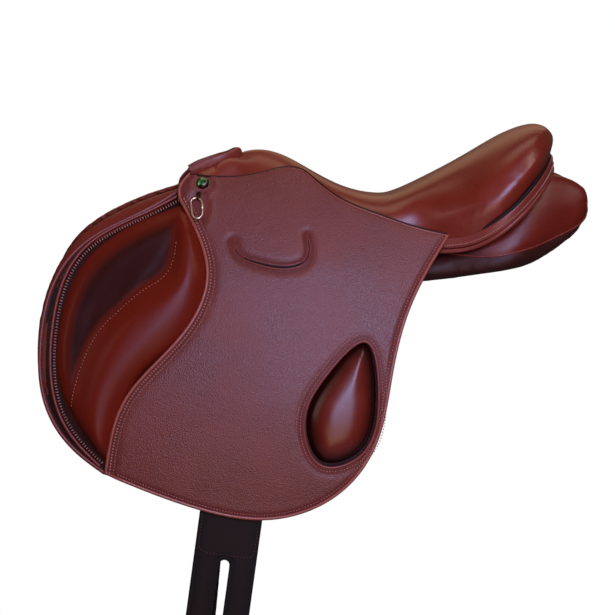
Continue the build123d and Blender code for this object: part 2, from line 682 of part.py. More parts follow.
# ================================================================ billet and girth webbing
def forked_strap(lean):
    """The forked billet in the near side's layers, leaning forward from where it hangs."""
    drop = BILLET_HANG[1] - BILLET_FORK_Z
    fork_x = BILLET_HANG[0] - drop * tan(radians(lean))
    side_sheet(BILLET_DEPTH, BILLET_T)
    with BuildSketch(Plane.XZ) as strap:
        with Locations(Location((fork_x, BILLET_FORK_Z, 0), (0, 0, -lean))):
            with Locations((0, (BILLET_RISE - LEG_LENGTH) / 2)):
                RectangleRounded(BILLET_WIDTH, BILLET_RISE + LEG_LENGTH, LEG_TIP)
            with Locations((0, -LEG_LENGTH)):
                SlotOverall(2 * LEG_LENGTH, LEG_GAP, rotation=90, mode=Mode.SUBTRACT)
            for side in (-1, 1):
                leg_x = side * (BILLET_WIDTH + LEG_GAP) / 4
                for hole in range(HOLE_COUNT):
                    with Locations((leg_x, HOLE_RISE - LEG_LENGTH + hole * HOLE_PITCH)):
                        Circle(HOLE_R, mode=Mode.SUBTRACT)
    cut_to(strap.sketch)


with BuildPart() as billet:
    forked_strap(BILLET_LEANS[0])

with BuildPart() as off_billet:
    forked_strap(BILLET_LEANS[1])

with BuildPart() as girth_web:
    with BuildSketch(Plane.YZ.offset(WEB_X)) as web:
        with BuildLine() as run:
            FilletPolyline(*WEB_PATH, radius=WEB_BEND)
        trace(run.line, line_width=WEB_T)
    extrude(web.sketch, amount=WEB_WIDTH / 2, both=True)

# ================================================================ nail, dee ring and keeper
NAIL_PLANE = side_plane(NAIL_X, NAIL_Z, 0.1)
with BuildPart() as head_nail:
    with BuildSketch(NAIL_PLANE):
        Circle(NAIL_R)
    extrude(amount=NAIL_RISE)
    fillet(head_nail.faces().sort_by(Axis.Y)[0].edges(), NAIL_ROUND)
    with BuildSketch(NAIL_PLANE.offset(NAIL_RISE)):
        Circle(NAIL_CAP_R)
    extrude(amount=-NAIL_DISH, mode=Mode.SUBTRACT)
    with BuildSketch(NAIL_PLANE):
        Circle(SHANK_R)
    extrude(amount=-FLAP_T)

with BuildPart() as nail_cap:
    with BuildSketch(NAIL_PLANE.offset(NAIL_RISE - NAIL_DISH + RIVET_FIT)):
        Circle(NAIL_CAP_R - 2 * RIVET_FIT)
    extrude(amount=NAIL_CAP_RISE + NAIL_DISH - RIVET_FIT)
    fillet(nail_cap.faces().sort_by(Axis.Y)[0].edges(), NAIL_CAP_RISE)

RING_PLANE = side_plane(RING_X, RING_TOP_Z, WIRE_R + KEEPER_T + WIRE_FIT + 0.2)
with BuildPart() as dee_ring:
    with BuildLine():
        corners = [(-1, 0), (1, 0), (1, -RING_H), (-1, -RING_H)]
        half = RING_W / 2 - WIRE_R
        drop = RING_H - 2 * WIRE_R
        path = FilletPolyline(
            *[RING_PLANE.from_local_coords((half * x, 0 if y == 0 else -drop, 0)) for x, y in corners],
            radius=RING_BEND, close=True)
    with BuildSketch(Plane(origin=path @ 0, z_dir=path % 0)):
        Circle(WIRE_R)
    sweep()

with BuildPart() as dee_keeper:
    with BuildSketch(Plane(origin=RING_PLANE.from_local_coords((-KEEPER_LENGTH / 2, 0, 0)),
                           x_dir=RING_PLANE.y_dir, z_dir=RING_PLANE.x_dir)) as keeper:
        Circle(WIRE_R + WIRE_FIT + KEEPER_T)
        with Locations((KEEPER_FOOT / 2, -WIRE_R - WIRE_FIT - KEEPER_T / 2)):
            Rectangle(KEEPER_FOOT, KEEPER_T)
        Circle(WIRE_R + WIRE_FIT, mode=Mode.SUBTRACT)
    extrude(keeper.sketch, amount=KEEPER_LENGTH)

# ================================================================ write the pieces
CENTRE = {
    "spring_tree": spring_tree,
    "head_plate": head_plate,
    "gullet_plate": gullet_plate,
    "head_rivets": head_rivets,
    "seat_webs": seat_webs,
    "cross_web": cross_web,
    "seat_foam": seat_foam,
    "seat_cover": seat_cover,
    "pommel_rim": pommel_rim,
    "pommel_facing": pommel_facing,
    "cantle_welt": cantle_welt,
    "cantle_piping": cantle_piping,
}
NEAR = {
    "spring_steel": spring_steel,
    "stirrup_bar": stirrup_bar,
    "bar_catch": bar_catch,
    "catch_pin": catch_pin,
    "bar_rivets": bar_rivets,
    "flap": flap,
    "flap_head": flap_head,
    "sweat_flap": sweat_flap,
    "knee_block": knee_block,
    "thigh_block": thigh_block,
    "panel": panel,
    "panel_facing": panel_facing,
    "billet": billet,
    "girth_web": girth_web,
    "head_nail": head_nail,
    "nail_cap": nail_cap,
    "dee_ring": dee_ring,
    "dee_keeper": dee_keeper,
}
OFF_SHAPES = {"billet": off_billet}     # pieces that aren't the near one's mirror image

os.makedirs("parts", exist_ok=True)
for name, piece in CENTRE.items():
    piece.part.label = name
    export_step(piece.part, f"parts/{name}.step")
for name, piece in NEAR.items():
    piece.part.label = f"near_{name}"
    export_step(piece.part, f"parts/near_{name}.step")
    with BuildPart() as twin:
        mirror(OFF_SHAPES.get(name, piece).part, about=Plane.XZ)
    twin.part.label = f"off_{name}"
    export_step(twin.part, f"parts/off_{name}.step")
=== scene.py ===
"""English monoflap jumping saddle: leather, stitching, fittings, studio light and camera."""

import math

import bmesh
import bpy
import numpy as np
from mathutils import Matrix, Vector
from mathutils.bvhtree import BVHTree


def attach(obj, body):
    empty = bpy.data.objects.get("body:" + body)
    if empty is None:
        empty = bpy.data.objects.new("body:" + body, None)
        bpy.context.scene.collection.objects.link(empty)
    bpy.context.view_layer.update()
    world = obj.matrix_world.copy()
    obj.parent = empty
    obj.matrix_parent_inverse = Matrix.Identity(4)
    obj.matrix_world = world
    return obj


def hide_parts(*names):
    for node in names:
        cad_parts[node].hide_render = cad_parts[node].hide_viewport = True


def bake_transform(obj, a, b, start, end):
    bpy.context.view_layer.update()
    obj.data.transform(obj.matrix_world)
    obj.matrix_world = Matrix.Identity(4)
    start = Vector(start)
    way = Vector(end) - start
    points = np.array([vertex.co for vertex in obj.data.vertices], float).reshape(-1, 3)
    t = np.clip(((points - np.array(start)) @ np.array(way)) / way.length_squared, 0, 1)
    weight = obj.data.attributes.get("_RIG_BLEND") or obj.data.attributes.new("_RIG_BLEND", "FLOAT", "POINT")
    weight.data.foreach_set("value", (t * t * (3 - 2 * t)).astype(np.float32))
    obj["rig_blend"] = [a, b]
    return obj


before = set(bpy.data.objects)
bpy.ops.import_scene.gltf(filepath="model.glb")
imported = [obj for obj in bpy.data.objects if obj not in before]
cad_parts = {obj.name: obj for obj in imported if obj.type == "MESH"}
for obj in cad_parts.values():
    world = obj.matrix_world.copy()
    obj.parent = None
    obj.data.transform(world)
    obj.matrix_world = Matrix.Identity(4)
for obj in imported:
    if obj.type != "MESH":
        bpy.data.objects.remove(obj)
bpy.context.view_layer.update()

# ---------------------------------------------------------------- outer flap
# One piece of grained hide from the seat seam to the hem. Its front edge is a shallow S beside
# the knee block, with a cut-out over the thigh block and a slit for the stirrup leather. The
# hide bends at the bar when the flap is lifted, so it turns smoothly between the two bodies.
LEATHER = 3.5           # thickness of the outer flap

# Every leather on a side of the saddle is blocked over the same curve: it slopes at the head,
# bends down in one arc to the hem, and bows gently from front to back. Sizes are millimetres.
PLAN_X = -100.0
HEAD_Y = -60.0
HEAD_Z = 128.0
PLAN_RADIUS = 1310.0
SIDE_RADIUS = 575.0
HEAD_SLOPE = math.radians(50)
HEM_SLOPE = math.radians(88)


def side_y(x, z, depth):
    """How far out the side lies at a place in the side view, so deep below the flap's face."""
    centre_reach = PLAN_RADIUS - SIDE_RADIUS * math.sin(HEAD_SLOPE)
    centre_z = HEAD_Z - SIDE_RADIUS * math.cos(HEAD_SLOPE)
    radius = SIDE_RADIUS - depth
    arc_top = centre_z + radius * math.cos(HEAD_SLOPE)
    arc_foot = centre_z + radius * math.cos(HEM_SLOPE)
    on_arc = np.clip(z, arc_foot, arc_top)
    reach = centre_reach + np.sqrt(radius ** 2 - (on_arc - centre_z) ** 2)
    reach = reach - np.maximum(z - arc_top, 0) / math.tan(HEAD_SLOPE)
    reach = reach + np.maximum(arc_foot - z, 0) / math.tan(HEM_SLOPE)
    return HEAD_Y + PLAN_RADIUS - np.sqrt(reach ** 2 - (x - PLAN_X) ** 2)


def places_of(bm):
    """Where a piece's points are, one row for each."""
    return np.array([vert.co for vert in bm.verts]).reshape(-1, 3)


def blocked(bm):
    """A flat piece, drawn as (x, depth, z), is blocked over the side's curve."""
    places = places_of(bm)
    outs = side_y(places[:, 0], places[:, 2], places[:, 1])
    for vert, y in zip(bm.verts, outs):
        vert.co.y = y
    return bm


# A pattern piece is a smooth line through a few points; the hide is a fine grid that is trimmed
# to that line, and each point of it knows how far it lies from the nearest edge or seam.
def smooth_run(points, step=2.0, closed=False):
    """Evenly spaced places on a smooth line through a few points."""
    knots = np.array(points, float)
    if closed:
        knots = np.vstack([knots[-3:], knots, knots[:4]])
    if len(knots) == 2:
        count = max(2, int(np.linalg.norm(knots[1] - knots[0]) / step) + 1)
        return knots[0] + (knots[1] - knots[0]) * np.linspace(0, 1, count)[:, None]
    at = np.concatenate([[0], np.cumsum(np.linalg.norm(np.diff(knots, axis=0), axis=1))])
    gap = np.diff(at)
    system = np.zeros((len(knots), len(knots)))
    load = np.zeros_like(knots)
    system[0, 0] = system[-1, -1] = 1
    for i in range(1, len(knots) - 1):
        system[i, i - 1:i + 2] = gap[i - 1], 2 * (gap[i - 1] + gap[i]), gap[i]
        load[i] = 6 * ((knots[i + 1] - knots[i]) / gap[i] - (knots[i] - knots[i - 1]) / gap[i - 1])
    bend = np.linalg.solve(system, load)
    first, last = (at[3], at[-4]) if closed else (at[0], at[-1])
    t = np.linspace(first, last, int((last - first) / step * 2) + 2)
    i = np.clip(np.searchsorted(at, t, side="right") - 1, 0, len(gap) - 1)
    a = ((at[i + 1] - t) / gap[i])[:, None]
    b = 1 - a
    h = (gap[i] ** 2 / 6)[:, None]
    line = a * knots[i] + b * knots[i + 1] + ((a ** 3 - a) * bend[i] + (b ** 3 - b) * bend[i + 1]) * h
    return evenly(line, step)


def evenly(line, step):
    """The same line with its places an even step apart."""
    along = np.concatenate([[0], np.cumsum(np.linalg.norm(np.diff(line, axis=0), axis=1))])
    wanted = np.linspace(0, along[-1], max(2, int(round(along[-1] / step)) + 1))
    return np.stack([np.interp(wanted, along, line[:, k]) for k in range(line.shape[1])], axis=1)


def joined(*runs):
    """Runs end to end as one closed line."""
    line = np.vstack([run[:-1] for run in runs])
    return np.vstack([line, line[:1]])


def shifted(line, distance):
    """The line moved to its left in the side view."""
    ahead = np.gradient(line, axis=0)
    ahead /= np.linalg.norm(ahead, axis=1)[:, None]
    return line + np.stack([-ahead[:, 1], ahead[:, 0]], axis=1) * distance


def nearest_on(line, places):
    """Distance from each place to a line, the nearest place on it, and which side it lies on."""
    start, run = line[:-1], np.diff(line, axis=0)
    long = (run ** 2).sum(1)
    best = np.full(len(places), 1e9)
    where = np.zeros_like(places)
    side = np.zeros(len(places))
    for a, r, l in zip(start, run, long):
        if l < 1e-9:
            continue
        offset = places - a
        t = np.clip(offset @ r / l, 0, 1)
        foot = a + t[:, None] * r
        gap = np.linalg.norm(places - foot, axis=1)
        closer = gap < best
        best[closer] = gap[closer]
        where[closer] = foot[closer]
        side[closer] = np.sign(r[0] * offset[closer, 1] - r[1] * offset[closer, 0])
    return best, where, side


def within(loop, places):
    """Which places lie inside a closed line."""
    inside = np.zeros(len(places), bool)
    for (x0, z0), (x1, z1) in zip(loop[:-1], loop[1:]):
        if z0 == z1:
            continue
        spans = (z0 > places[:, 1]) != (z1 > places[:, 1])
        inside ^= spans & (places[:, 0] < x0 + (places[:, 1] - z0) * (x1 - x0) / (z1 - z0))
    return inside


def cut_hide(outline, holes=(), cell=3.0):
    """A fine flat grid in the side view, trimmed to an outline and its holes."""
    low, high = outline.min(0) - cell, outline.max(0) + cell
    middle, size = (low + high) / 2, high - low
    bm = bmesh.new()
    bmesh.ops.create_grid(
        bm,
        x_segments=int(size[0] / cell),
        y_segments=int(size[1] / cell),
        size=0.5,
        matrix=Matrix.Translation((middle[0], 0, middle[1]))
        @ Matrix.Diagonal((size[0], 1, size[1], 1))
        @ Matrix.Rotation(math.pi / 2, 4, "X"),
    )
    flat = places_of(bm)[:, [0, 2]]
    kept = within(outline, flat)
    for hole in holes:
        kept &= ~within(hole, flat)
    waste = [face for face in bm.faces if not any(kept[vert.index] for vert in face.verts)]
    bmesh.ops.delete(bm, geom=waste, context="FACES")
    flat = places_of(bm)[:, [0, 2]]
    kept = within(outline, flat)
    for hole in holes:
        kept &= ~within(hole, flat)
    edge = np.full(len(flat), 1e9)
    foot = flat.copy()
    for loop in (outline, *holes):
        gap, where, _ = nearest_on(loop, flat)
        closer = gap < edge
        edge[closer] = gap[closer]
        foot[closer] = where[closer]
    for vert, inside, place in zip(bm.verts, kept, foot):
        if not inside:
            vert.co = (place[0], 0, place[1])
    return bm


def swell(distance, start, end):
    """0 up to start, 1 past end, smooth between."""
    t = np.clip((distance - start) / (end - start), 0, 1)
    return t * t * (3 - 2 * t)


def bead(distance, centre, width):
    """A soft ridge or furrow round one distance."""
    return np.exp(-((distance - centre) / width) ** 2)


def shape_piece(bm, depth_at, seams):
    """Gives each point of a hide its depth, and its distance to the nearest seam in millimetres."""
    flat = places_of(bm)[:, [0, 2]]
    near = np.full(len(flat), 60.0)
    for line in seams:
        near = np.minimum(near, nearest_on(line, flat)[0])
    layer = bm.verts.layers.float.new("seam")
    for vert, depth, gap in zip(bm.verts, depth_at(flat), near):
        vert.co.y = depth
        vert[layer] = gap
    return bm


# Full-grain cowhide, drum-dyed mahogany and plated with wax. The grain is pebbles about 1.5 mm
# across where the hide is left matte; panels that are pulled tight over padding are glossier.
def linear(code):
    """An sRGB hex colour in linear light."""
    parts = [int(code[i:i + 2], 16) / 255 for i in (1, 3, 5)]
    return [c / 12.92 if c <= 0.04045 else ((c + 0.055) / 1.055) ** 2.4 for c in parts] + [1.0]


def add_node(material, kind, links=(), **settings):
    """Adds a node, sets its sockets or properties by name, and links sockets from earlier nodes."""
    node = material.node_tree.nodes.new(kind)
    for name, value in settings.items():
        if hasattr(node, name):
            setattr(node, name, value)
        else:
            node.inputs[name.replace("_", " ")].default_value = value
    for source, outlet, inlet in links:
        material.node_tree.links.new(source.outputs[outlet], node.inputs[inlet])
    return node


def new_material(name, roughness, **sockets):
    """A material with its shader; constants go on the shader's own sockets."""
    material = bpy.data.materials.new(name)
    material.use_nodes = True
    material.node_tree.nodes.clear()
    shader = add_node(material, "ShaderNodeBsdfPrincipled", Roughness=roughness)
    for socket, value in sockets.items():
        shader.inputs[socket.replace("_", " ")].default_value = value
    add_node(material, "ShaderNodeOutputMaterial", [(shader, "BSDF", "Surface")])
    return material, shader


def tint_ramp(material, source, outlet, stops):
    """A colour ramp fed by a value."""
    ramp = add_node(material, "ShaderNodeValToRGB", [(source, outlet, "Fac")])
    while len(ramp.color_ramp.elements) < len(stops):
        ramp.color_ramp.elements.new(0.5)
    for element, (at, code) in zip(ramp.color_ramp.elements, stops):
        element.position = at
        element.color = linear(code)
    return ramp


def leather(name, field, edge, worn, roughness, grain=1.5, relief=0.25, gloss=0.2, reach=8.0,
            dull=0.0, shine=0.5):
    """Leather: field colour, edge colour beside seams (dye or painted shade), worn patches between."""
    material, shader = new_material(
        name,
        roughness,
        IOR=1.5,
        Coat_Weight=gloss,
        Coat_Roughness=0.22,
        Specular_IOR_Level=shine,
    )
    place = add_node(material, "ShaderNodeTexCoord")
    seam = add_node(material, "ShaderNodeAttribute", attribute_name="seam")
    mottle = add_node(material, "ShaderNodeTexNoise", [(place, "Object", "Vector")],
                      Scale=14.0, Detail=5.0, Roughness=0.55)
    patches = tint_ramp(material, mottle, "Fac", [(0.36, field), (0.68, worn)])
    ragged = add_node(material, "ShaderNodeMath", [(mottle, "Fac", 0)], operation="MULTIPLY")
    ragged.inputs[1].default_value = 6.0
    gap = add_node(material, "ShaderNodeMath", [(seam, "Fac", 0), (ragged, "Value", 1)],
                   operation="ADD")
    inward = add_node(material, "ShaderNodeMapRange", [(gap, "Value", "Value")])
    inward.inputs["From Min"].default_value = 8.5
    inward.inputs["From Max"].default_value = 8.5 + reach
    dyed = add_node(material, "ShaderNodeMix", [(inward, "Result", 0), (patches, "Color", 7)],
                    data_type="RGBA")
    dyed.inputs[6].default_value = linear(edge)
    pebbles = add_node(material, "ShaderNodeTexVoronoi", [(place, "Object", "Vector")],
                       Scale=1000.0 / grain, feature="SMOOTH_F1", Smoothness=0.6)
    creases = add_node(material, "ShaderNodeTexNoise", [(place, "Object", "Vector")],
                       Scale=1000.0 / (grain * 1.2), Detail=2.0)
    relief_map = add_node(material, "ShaderNodeMath",
                          [(pebbles, "Distance", 0), (creases, "Fac", 1)], operation="ADD")
    shade = add_node(material, "ShaderNodeMapRange", [(pebbles, "Distance", "Value")])
    shade.inputs["From Max"].default_value = 0.8
    shade.inputs["To Min"].default_value = 1.06
    shade.inputs["To Max"].default_value = 0.86
    toned = add_node(material, "ShaderNodeMix", [(dyed, 2, 6), (shade, "Result", 7)],
                     data_type="RGBA", blend_type="MULTIPLY")
    toned.inputs[0].default_value = 1.0
    bump = add_node(material, "ShaderNodeBump", [(relief_map, "Value", "Height")],
                    Strength=relief, Distance=0.0006)
    sheen = add_node(material, "ShaderNodeMapRange", [(mottle, "Fac", "Value")])
    sheen.inputs["From Min"].default_value = 0.3
    sheen.inputs["From Max"].default_value = 0.7
    sheen.inputs["To Min"].default_value = roughness - 0.05
    sheen.inputs["To Max"].default_value = roughness + 0.07
    matt = add_node(material, "ShaderNodeMapRange", [(inward, "Result", "Value")])
    matt.inputs["To Min"].default_value = dull
    matt.inputs["To Max"].default_value = 0.0
    waxed = add_node(material, "ShaderNodeMath", [(sheen, "Result", 0), (matt, "Result", 1)],
                     operation="ADD")
    links = material.node_tree.links
    links.new(toned.outputs[2], shader.inputs["Base Color"])
    links.new(waxed.outputs["Value"], shader.inputs["Roughness"])
    links.new(bump.outputs["Normal"], shader.inputs["Normal"])
    return material


# Pebbled hide with a soft waxed gloss, which goes matt beside its seams.
flap_leather = leather("grained cowhide, waxed", "#68251c", "#641a10", "#742e24",
                       roughness=0.40, grain=1.4, relief=0.8, gloss=0.12, reach=4.0, dull=0.4)
# Skived leather turned over a cord: smoother than the flap and a little paler.
roll_leather = leather("rolled edge leather", "#762c20", "#762c20", "#843a2e",
                       roughness=0.34, grain=0.9, relief=0.10, gloss=0.05, shine=0.38)
# The flap's bound edge, glossy; its pale colour is a painted highlight on the rolled edge.
edge_leather = leather("flap edge, bound and waxed", "#964a3c", "#964a3c", "#a85c50",
                       roughness=0.30, grain=0.9, relief=0.10, gloss=0.2)
# Plain oiled hide, dark, with only a dull shine.
under_leather = leather("sweat flap hide", "#2a0904", "#220703", "#360e07",
                        roughness=0.42, grain=1.1, relief=0.16, gloss=0.0, shine=0.24)
# Thick harness butt, close to black and the roughest of the leathers.
strap_leather = leather("strap butt leather", "#160603", "#0c0201", "#1c0a05",
                        roughness=0.62, grain=1.2, relief=0.15, gloss=0.0, shine=0.25)


# The near side is made first; the off side is its mirror image over the horse's spine.
BEND = ((-0.080, 0.108), (-0.108, 0.056))       # the flap's leather starts and ends its bend here


def place_piece(bm, name, finish, slot, body, stands_for=(), thick=0.0, rounded=0, blend=None):
    """Turns a bmesh in millimetres into a piece that rides on a CAD body."""
    bmesh.ops.scale(bm, vec=(0.001, 0.001, 0.001), verts=bm.verts)
    mesh = bpy.data.meshes.new(name)
    bm.to_mesh(mesh)
    bm.free()
    mesh.shade_smooth()
    mesh.materials.append(finish)
    piece = bpy.data.objects.new(name, mesh)
    bpy.context.scene.collection.objects.link(piece)
    if thick:
        wall = piece.modifiers.new("thickness", "SOLIDIFY")
        wall.thickness = thick / 1000
        wall.offset = -1
    if rounded:
        finer = piece.modifiers.new("rounding", "SUBSURF")
        finer.levels = finer.render_levels = rounded
    if blend:
        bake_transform(piece, "saddle", body, *blend)
    else:
        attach(piece, body)
    if stands_for:
        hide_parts(*stands_for)
    return piece


def both_sides(bm, name, finish, slot, body="saddle", stands_for=(), bend=False, **extra):
    """Places a near-side piece and its mirror image, each on its own side's body."""
    pieces = []
    for side, sign in (("near", 1), ("off", -1)):
        twin = bm.copy()
        if sign < 0:
            bmesh.ops.scale(twin, vec=(1, -1, 1), verts=twin.verts)
            bmesh.ops.reverse_faces(twin, faces=twin.faces)
        rider = body if body == "saddle" else f"{side}_{body}"
        nodes = [f"{side}_{node}" for node in stands_for]
        line = [(PLAN_X / 1000, sign * y, z) for y, z in BEND] if bend else None
        pieces.append(place_piece(twin, f"{side} {name}".replace(" ", "_"), finish, slot, rider, nodes,
                                  blend=line, **extra))
    bm.free()
    return pieces


# Stitches are waxed linen, 1.6 to 2.8 mm long, laid in rows beside an edge. Edges are turned over
# a thin cord, which leaves a small round roll.
def mesh_of(curve):
    """A curve with its bevel as a bmesh."""
    holder = bpy.data.objects.new("holder", curve)
    bpy.context.scene.collection.objects.link(holder)
    graph = bpy.context.evaluated_depsgraph_get()
    mesh = bpy.data.meshes.new_from_object(holder.evaluated_get(graph))
    bm = bmesh.new()
    bm.from_mesh(mesh)
    bpy.data.objects.remove(holder)
    bpy.data.curves.remove(curve)
    bpy.data.meshes.remove(mesh)
    bmesh.ops.remove_doubles(bm, verts=bm.verts, dist=0.0005)
    bmesh.ops.recalc_face_normals(bm, faces=bm.faces)
    return bm


def round_roll(path, radius, closed=False):
    """A round roll through places in space, given in millimetres."""
    curve = bpy.data.curves.new("roll", "CURVE")
    curve.dimensions = "3D"
    curve.bevel_depth = radius
    curve.bevel_resolution = 2
    curve.use_fill_caps = True
    spline = curve.splines.new("POLY")
    spline.points.add(len(path) - 1)
    spline.use_cyclic_u = closed
    for point, place in zip(spline.points, path):
        point.co = (*place, 1)
    return mesh_of(curve)


def roll_along(line, depth, radius):
    """A round roll along a line in the side view; depth is a number or a list along the line."""
    closed = bool(np.linalg.norm(line[0] - line[-1]) < 0.01)
    depths = np.broadcast_to(depth, len(line))
    path = [(x, side_y(x, z, d), z) for (x, z), d in zip(line, depths)]
    return round_roll(path[:-1] if closed else path, radius, closed)


def stitch_row(bm, line, depth_at, pitch=3.5, length=2.7, width=1.2):
    """Adds one row of stitches along a line in the side view."""
    row = evenly(line, pitch)
    middles = (row[:-1] + row[1:]) / 2
    depths = depth_at(middles)
    for start, end, middle, depth in zip(row[:-1], row[1:], middles, depths):
        lean = math.atan2(end[1] - start[1], end[0] - start[0])
        bmesh.ops.create_icosphere(
            bm,
            subdivisions=1,
            radius=0.5,
            matrix=Matrix.Translation((middle[0], depth - 0.25 * width, middle[1]))
            @ Matrix.Rotation(-lean, 4, "Y")
            @ Matrix.Diagonal((length, 0.7 * width, width, 1)),
        )
    return bm


def thread(name, code, light):
    """Waxed linen thread, slightly paler than the leather it sinks into."""
    material, shader = new_material(name, 0.55, IOR=1.5)
    place = add_node(material, "ShaderNodeTexCoord")
    twist = add_node(material, "ShaderNodeTexNoise", [(place, "Object", "Vector")], Scale=900.0)
    tone = tint_ramp(material, twist, "Fac", [(0.35, code), (0.65, light)])
    material.node_tree.links.new(tone.outputs["Color"], shader.inputs["Base Color"])
    return material


red_thread = thread("waxed linen thread", "#8a4c40", "#b67e6e")
dark_thread = thread("waxed linen thread, dark", "#45201a", "#6a3a30")

seat_edge = smooth_run([(-242, 136), (-224, 134), (-200, 133), (-178, 134), (-155, 138), (-130, 144),
                        (-110, 143), (-88, 128), (-56, 106), (-15, 90), (26, 76), (68, 66)])
rear_edge = smooth_run([(68, 66), (15, -18), (-8, -95), (-28, -173), (-69, -226), (-150, -257),
                        (-245, -242), (-343, -206)])
s_edge = smooth_run([(-343, -206), (-322, -125), (-243, -34), (-222, 22), (-233, 68), (-254, 107)])
front_corner = smooth_run([(-254, 107), (-255, 118), (-242, 136)])
flap_edge = joined(seat_edge, rear_edge, s_edge, front_corner)
egg = smooth_run([(-36, -54), (-84, -91), (-111, -152), (-90, -196), (-52, -190), (-22, -112)],
                 closed=True)
slit = smooth_run([(-192, 59), (-186, 46), (-168, 37), (-140, 31), (-118, 32), (-105, 39), (-101, 51),
                   (-103, 66)])
lip = 2.9 * np.sin(np.linspace(0, np.pi, len(slit)))[:, None] ** 0.4
upper_lip, lower_lip = slit + (shifted(slit, 1) - slit) * lip, slit - (shifted(slit, 1) - slit) * lip
slit_hole = joined(upper_lip[6:-5], lower_lip[6:-5][::-1])
NAIL = np.array([[-226.5, 125.0]])
RING = np.array([[-232.0, 99.0]])


def flap_depth(flat):
    """Relief of the outer flap: bound edges, creased seams, and the dimples round the fittings."""
    to_s = nearest_on(s_edge, flat)[0]
    to_rear = nearest_on(rear_edge, flat)[0]
    to_seat = nearest_on(seat_edge, flat)[0]
    to_egg = nearest_on(egg, flat)[0]
    to_slit = nearest_on(slit, flat)[0]
    to_nail = np.linalg.norm((flat - NAIL) * (1, 1.15), axis=1)
    to_ring = np.linalg.norm((flat - RING) * (1, 0.66), axis=1)
    depth = 2.2 * (1 - swell(to_s, 1, 17)) + 0.35 * bead(to_s, 3.6, 1.1) + 0.35 * bead(to_s, 8.6, 1.1)
    depth += 0.9 * (1 - swell(to_rear, 0, 9)) + 0.3 * bead(to_rear, 4.5, 1.1)
    depth += 0.8 * (1 - swell(to_seat, 0, 7))
    depth += 1.3 * (1 - swell(to_egg, 2, 15)) + 0.3 * bead(to_egg, 4.2, 1.1) + 0.3 * bead(to_egg, 8.6, 1.1)
    depth += 1.8 * (1 - swell(to_slit, 4, 12)) - 1.0 * bead(to_slit, 2.6, 2.0)
    depth += 1.1 * bead(to_nail, 10.5, 2.6) - 0.8 * bead(to_nail, 15.5, 3)
    depth += 1.6 * (1 - swell(to_ring, 8, 16)) - 0.6 * bead(to_ring, 17, 3)
    x, z = flat[:, 0], flat[:, 1]
    depth += 0.5 * np.sin(x / 31 + 1.3 * np.sin(z / 47)) * np.sin(z / 39 + 0.6)
    return depth


flap = cut_hide(flap_edge, [egg, slit_hole], cell=2.1)
shape_piece(flap, flap_depth, [s_edge, rear_edge, egg, slit, front_corner])
blocked(flap)
flap_area = sum(face.calc_area() for face in flap.faces) / 1e6
flaps = both_sides(flap, "flap hide", flap_leather, "flap_leather", "lifting_flap",
                   ["flap", "flap_head"], bend=True, thick=LEATHER)

flap_round = np.vstack([rear_edge[:-1], s_edge[:-1], front_corner])
bound = roll_along(flap_round, flap_depth(flap_round) + LEATHER / 2 - 0.5, 2.1)
both_sides(bound, "flap bound edge", edge_leather, "flap_leather", "lifting_flap", bend=True)
both_sides(roll_along(seat_edge, 1.0, 0.9), "seat seam", under_leather, "flap_leather", "lifting_flap",
           bend=True)
turned = shifted(seat_edge, -1.9)
turned = turned[turned[:, 0] > -112]
both_sides(roll_along(turned, flap_depth(turned) - 0.2, 0.8), "seat seam piping", edge_leather,
           "flap_leather", "lifting_flap", bend=True)
both_sides(roll_along(egg, flap_depth(egg) + LEATHER / 2 - 0.4, 2.0), "cut-out binding", roll_leather,
           "flap_leather", "lifting_flap", bend=True)

# Near-black hide under the slit is painted shade inside its opening; thin near-black rolls at its ends are
# painted shadow lines.
both_sides(roll_along(slit, flap_depth(slit) + 2.2, 2.6), "slit shade lining", strap_leather, "flap_leather",
           "lifting_flap", bend=True)
for end in (slit[:9], slit[-8:]):
    both_sides(roll_along(end, flap_depth(end) - 0.1, 0.75), "slit end shadow", strap_leather,
               "flap_leather", "lifting_flap", bend=True)
for name, edge in (("upper", upper_lip), ("lower", lower_lip)):
    both_sides(roll_along(edge * 0.75 + slit * 0.25, flap_depth(slit) + 0.5, 1.35), f"{name} slit lip",
               roll_leather, "flap_leather", "lifting_flap", bend=True)

flap_thread = bmesh.new()
stitch_row(flap_thread, shifted(s_edge, -4.2), flap_depth, length=2.8, width=2.5)
for line, shift in ((s_edge, -8.6), (egg, -4.2), (egg, -8.6)):
    stitch_row(flap_thread, shifted(line, shift), flap_depth)
stitch_row(flap_thread, shifted(rear_edge, -4.5)[3:-6], flap_depth)
both_sides(blocked(flap_thread), "flap stitching", red_thread, "flap_leather", "lifting_flap", bend=True)
slit_thread = bmesh.new()
for shift in (5.4, -5.4):
    stitch_row(slit_thread, shifted(slit, shift), flap_depth, pitch=3.6, length=2.2, width=1.3)
both_sides(blocked(slit_thread), "slit stitching", dark_thread, "flap_leather", "lifting_flap", bend=True)

# ---------------------------------------------------------------- under flap
# The under flap lies on the horse below the outer flap. Only its front shows: a corded edge,
# then a second cord where the cover of the knee pad is let in, and a stitched band beside it.
SWEAT_DEPTH = 12.0      # its face lies this far below the outer flap's
SWEAT_LEATHER = 3.0
under_front = smooth_run([(-247, 121), (-281, 101), (-316, 84), (-358, 63), (-393, 31), (-413, -11),
                          (-421, -62), (-420, -104), (-406, -148), (-378, -183), (-346, -207)])
under_hem = smooth_run([(-346, -207), (-250, -233), (-150, -247), (-84, -224), (-34, -175), (-12, -95),
                        (8, -12)])
under_top = [smooth_run(ends) for ends in ([(8, -12), (-188, -8)], [(-188, -8), (-204, 24)],
                                           [(-204, 24), (-207, 92)], [(-207, 92), (-240, 97)],
                                           [(-240, 97), (-247, 121)])]
under_edge = joined(under_front, under_hem, *under_top)
pad_cord = smooth_run([(-257, 110), (-291, 93), (-337, 72), (-371, 48), (-393, 15), (-405, -29),
                       (-409, -76), (-406, -113), (-395, -147), (-369, -182), (-350, -200)])


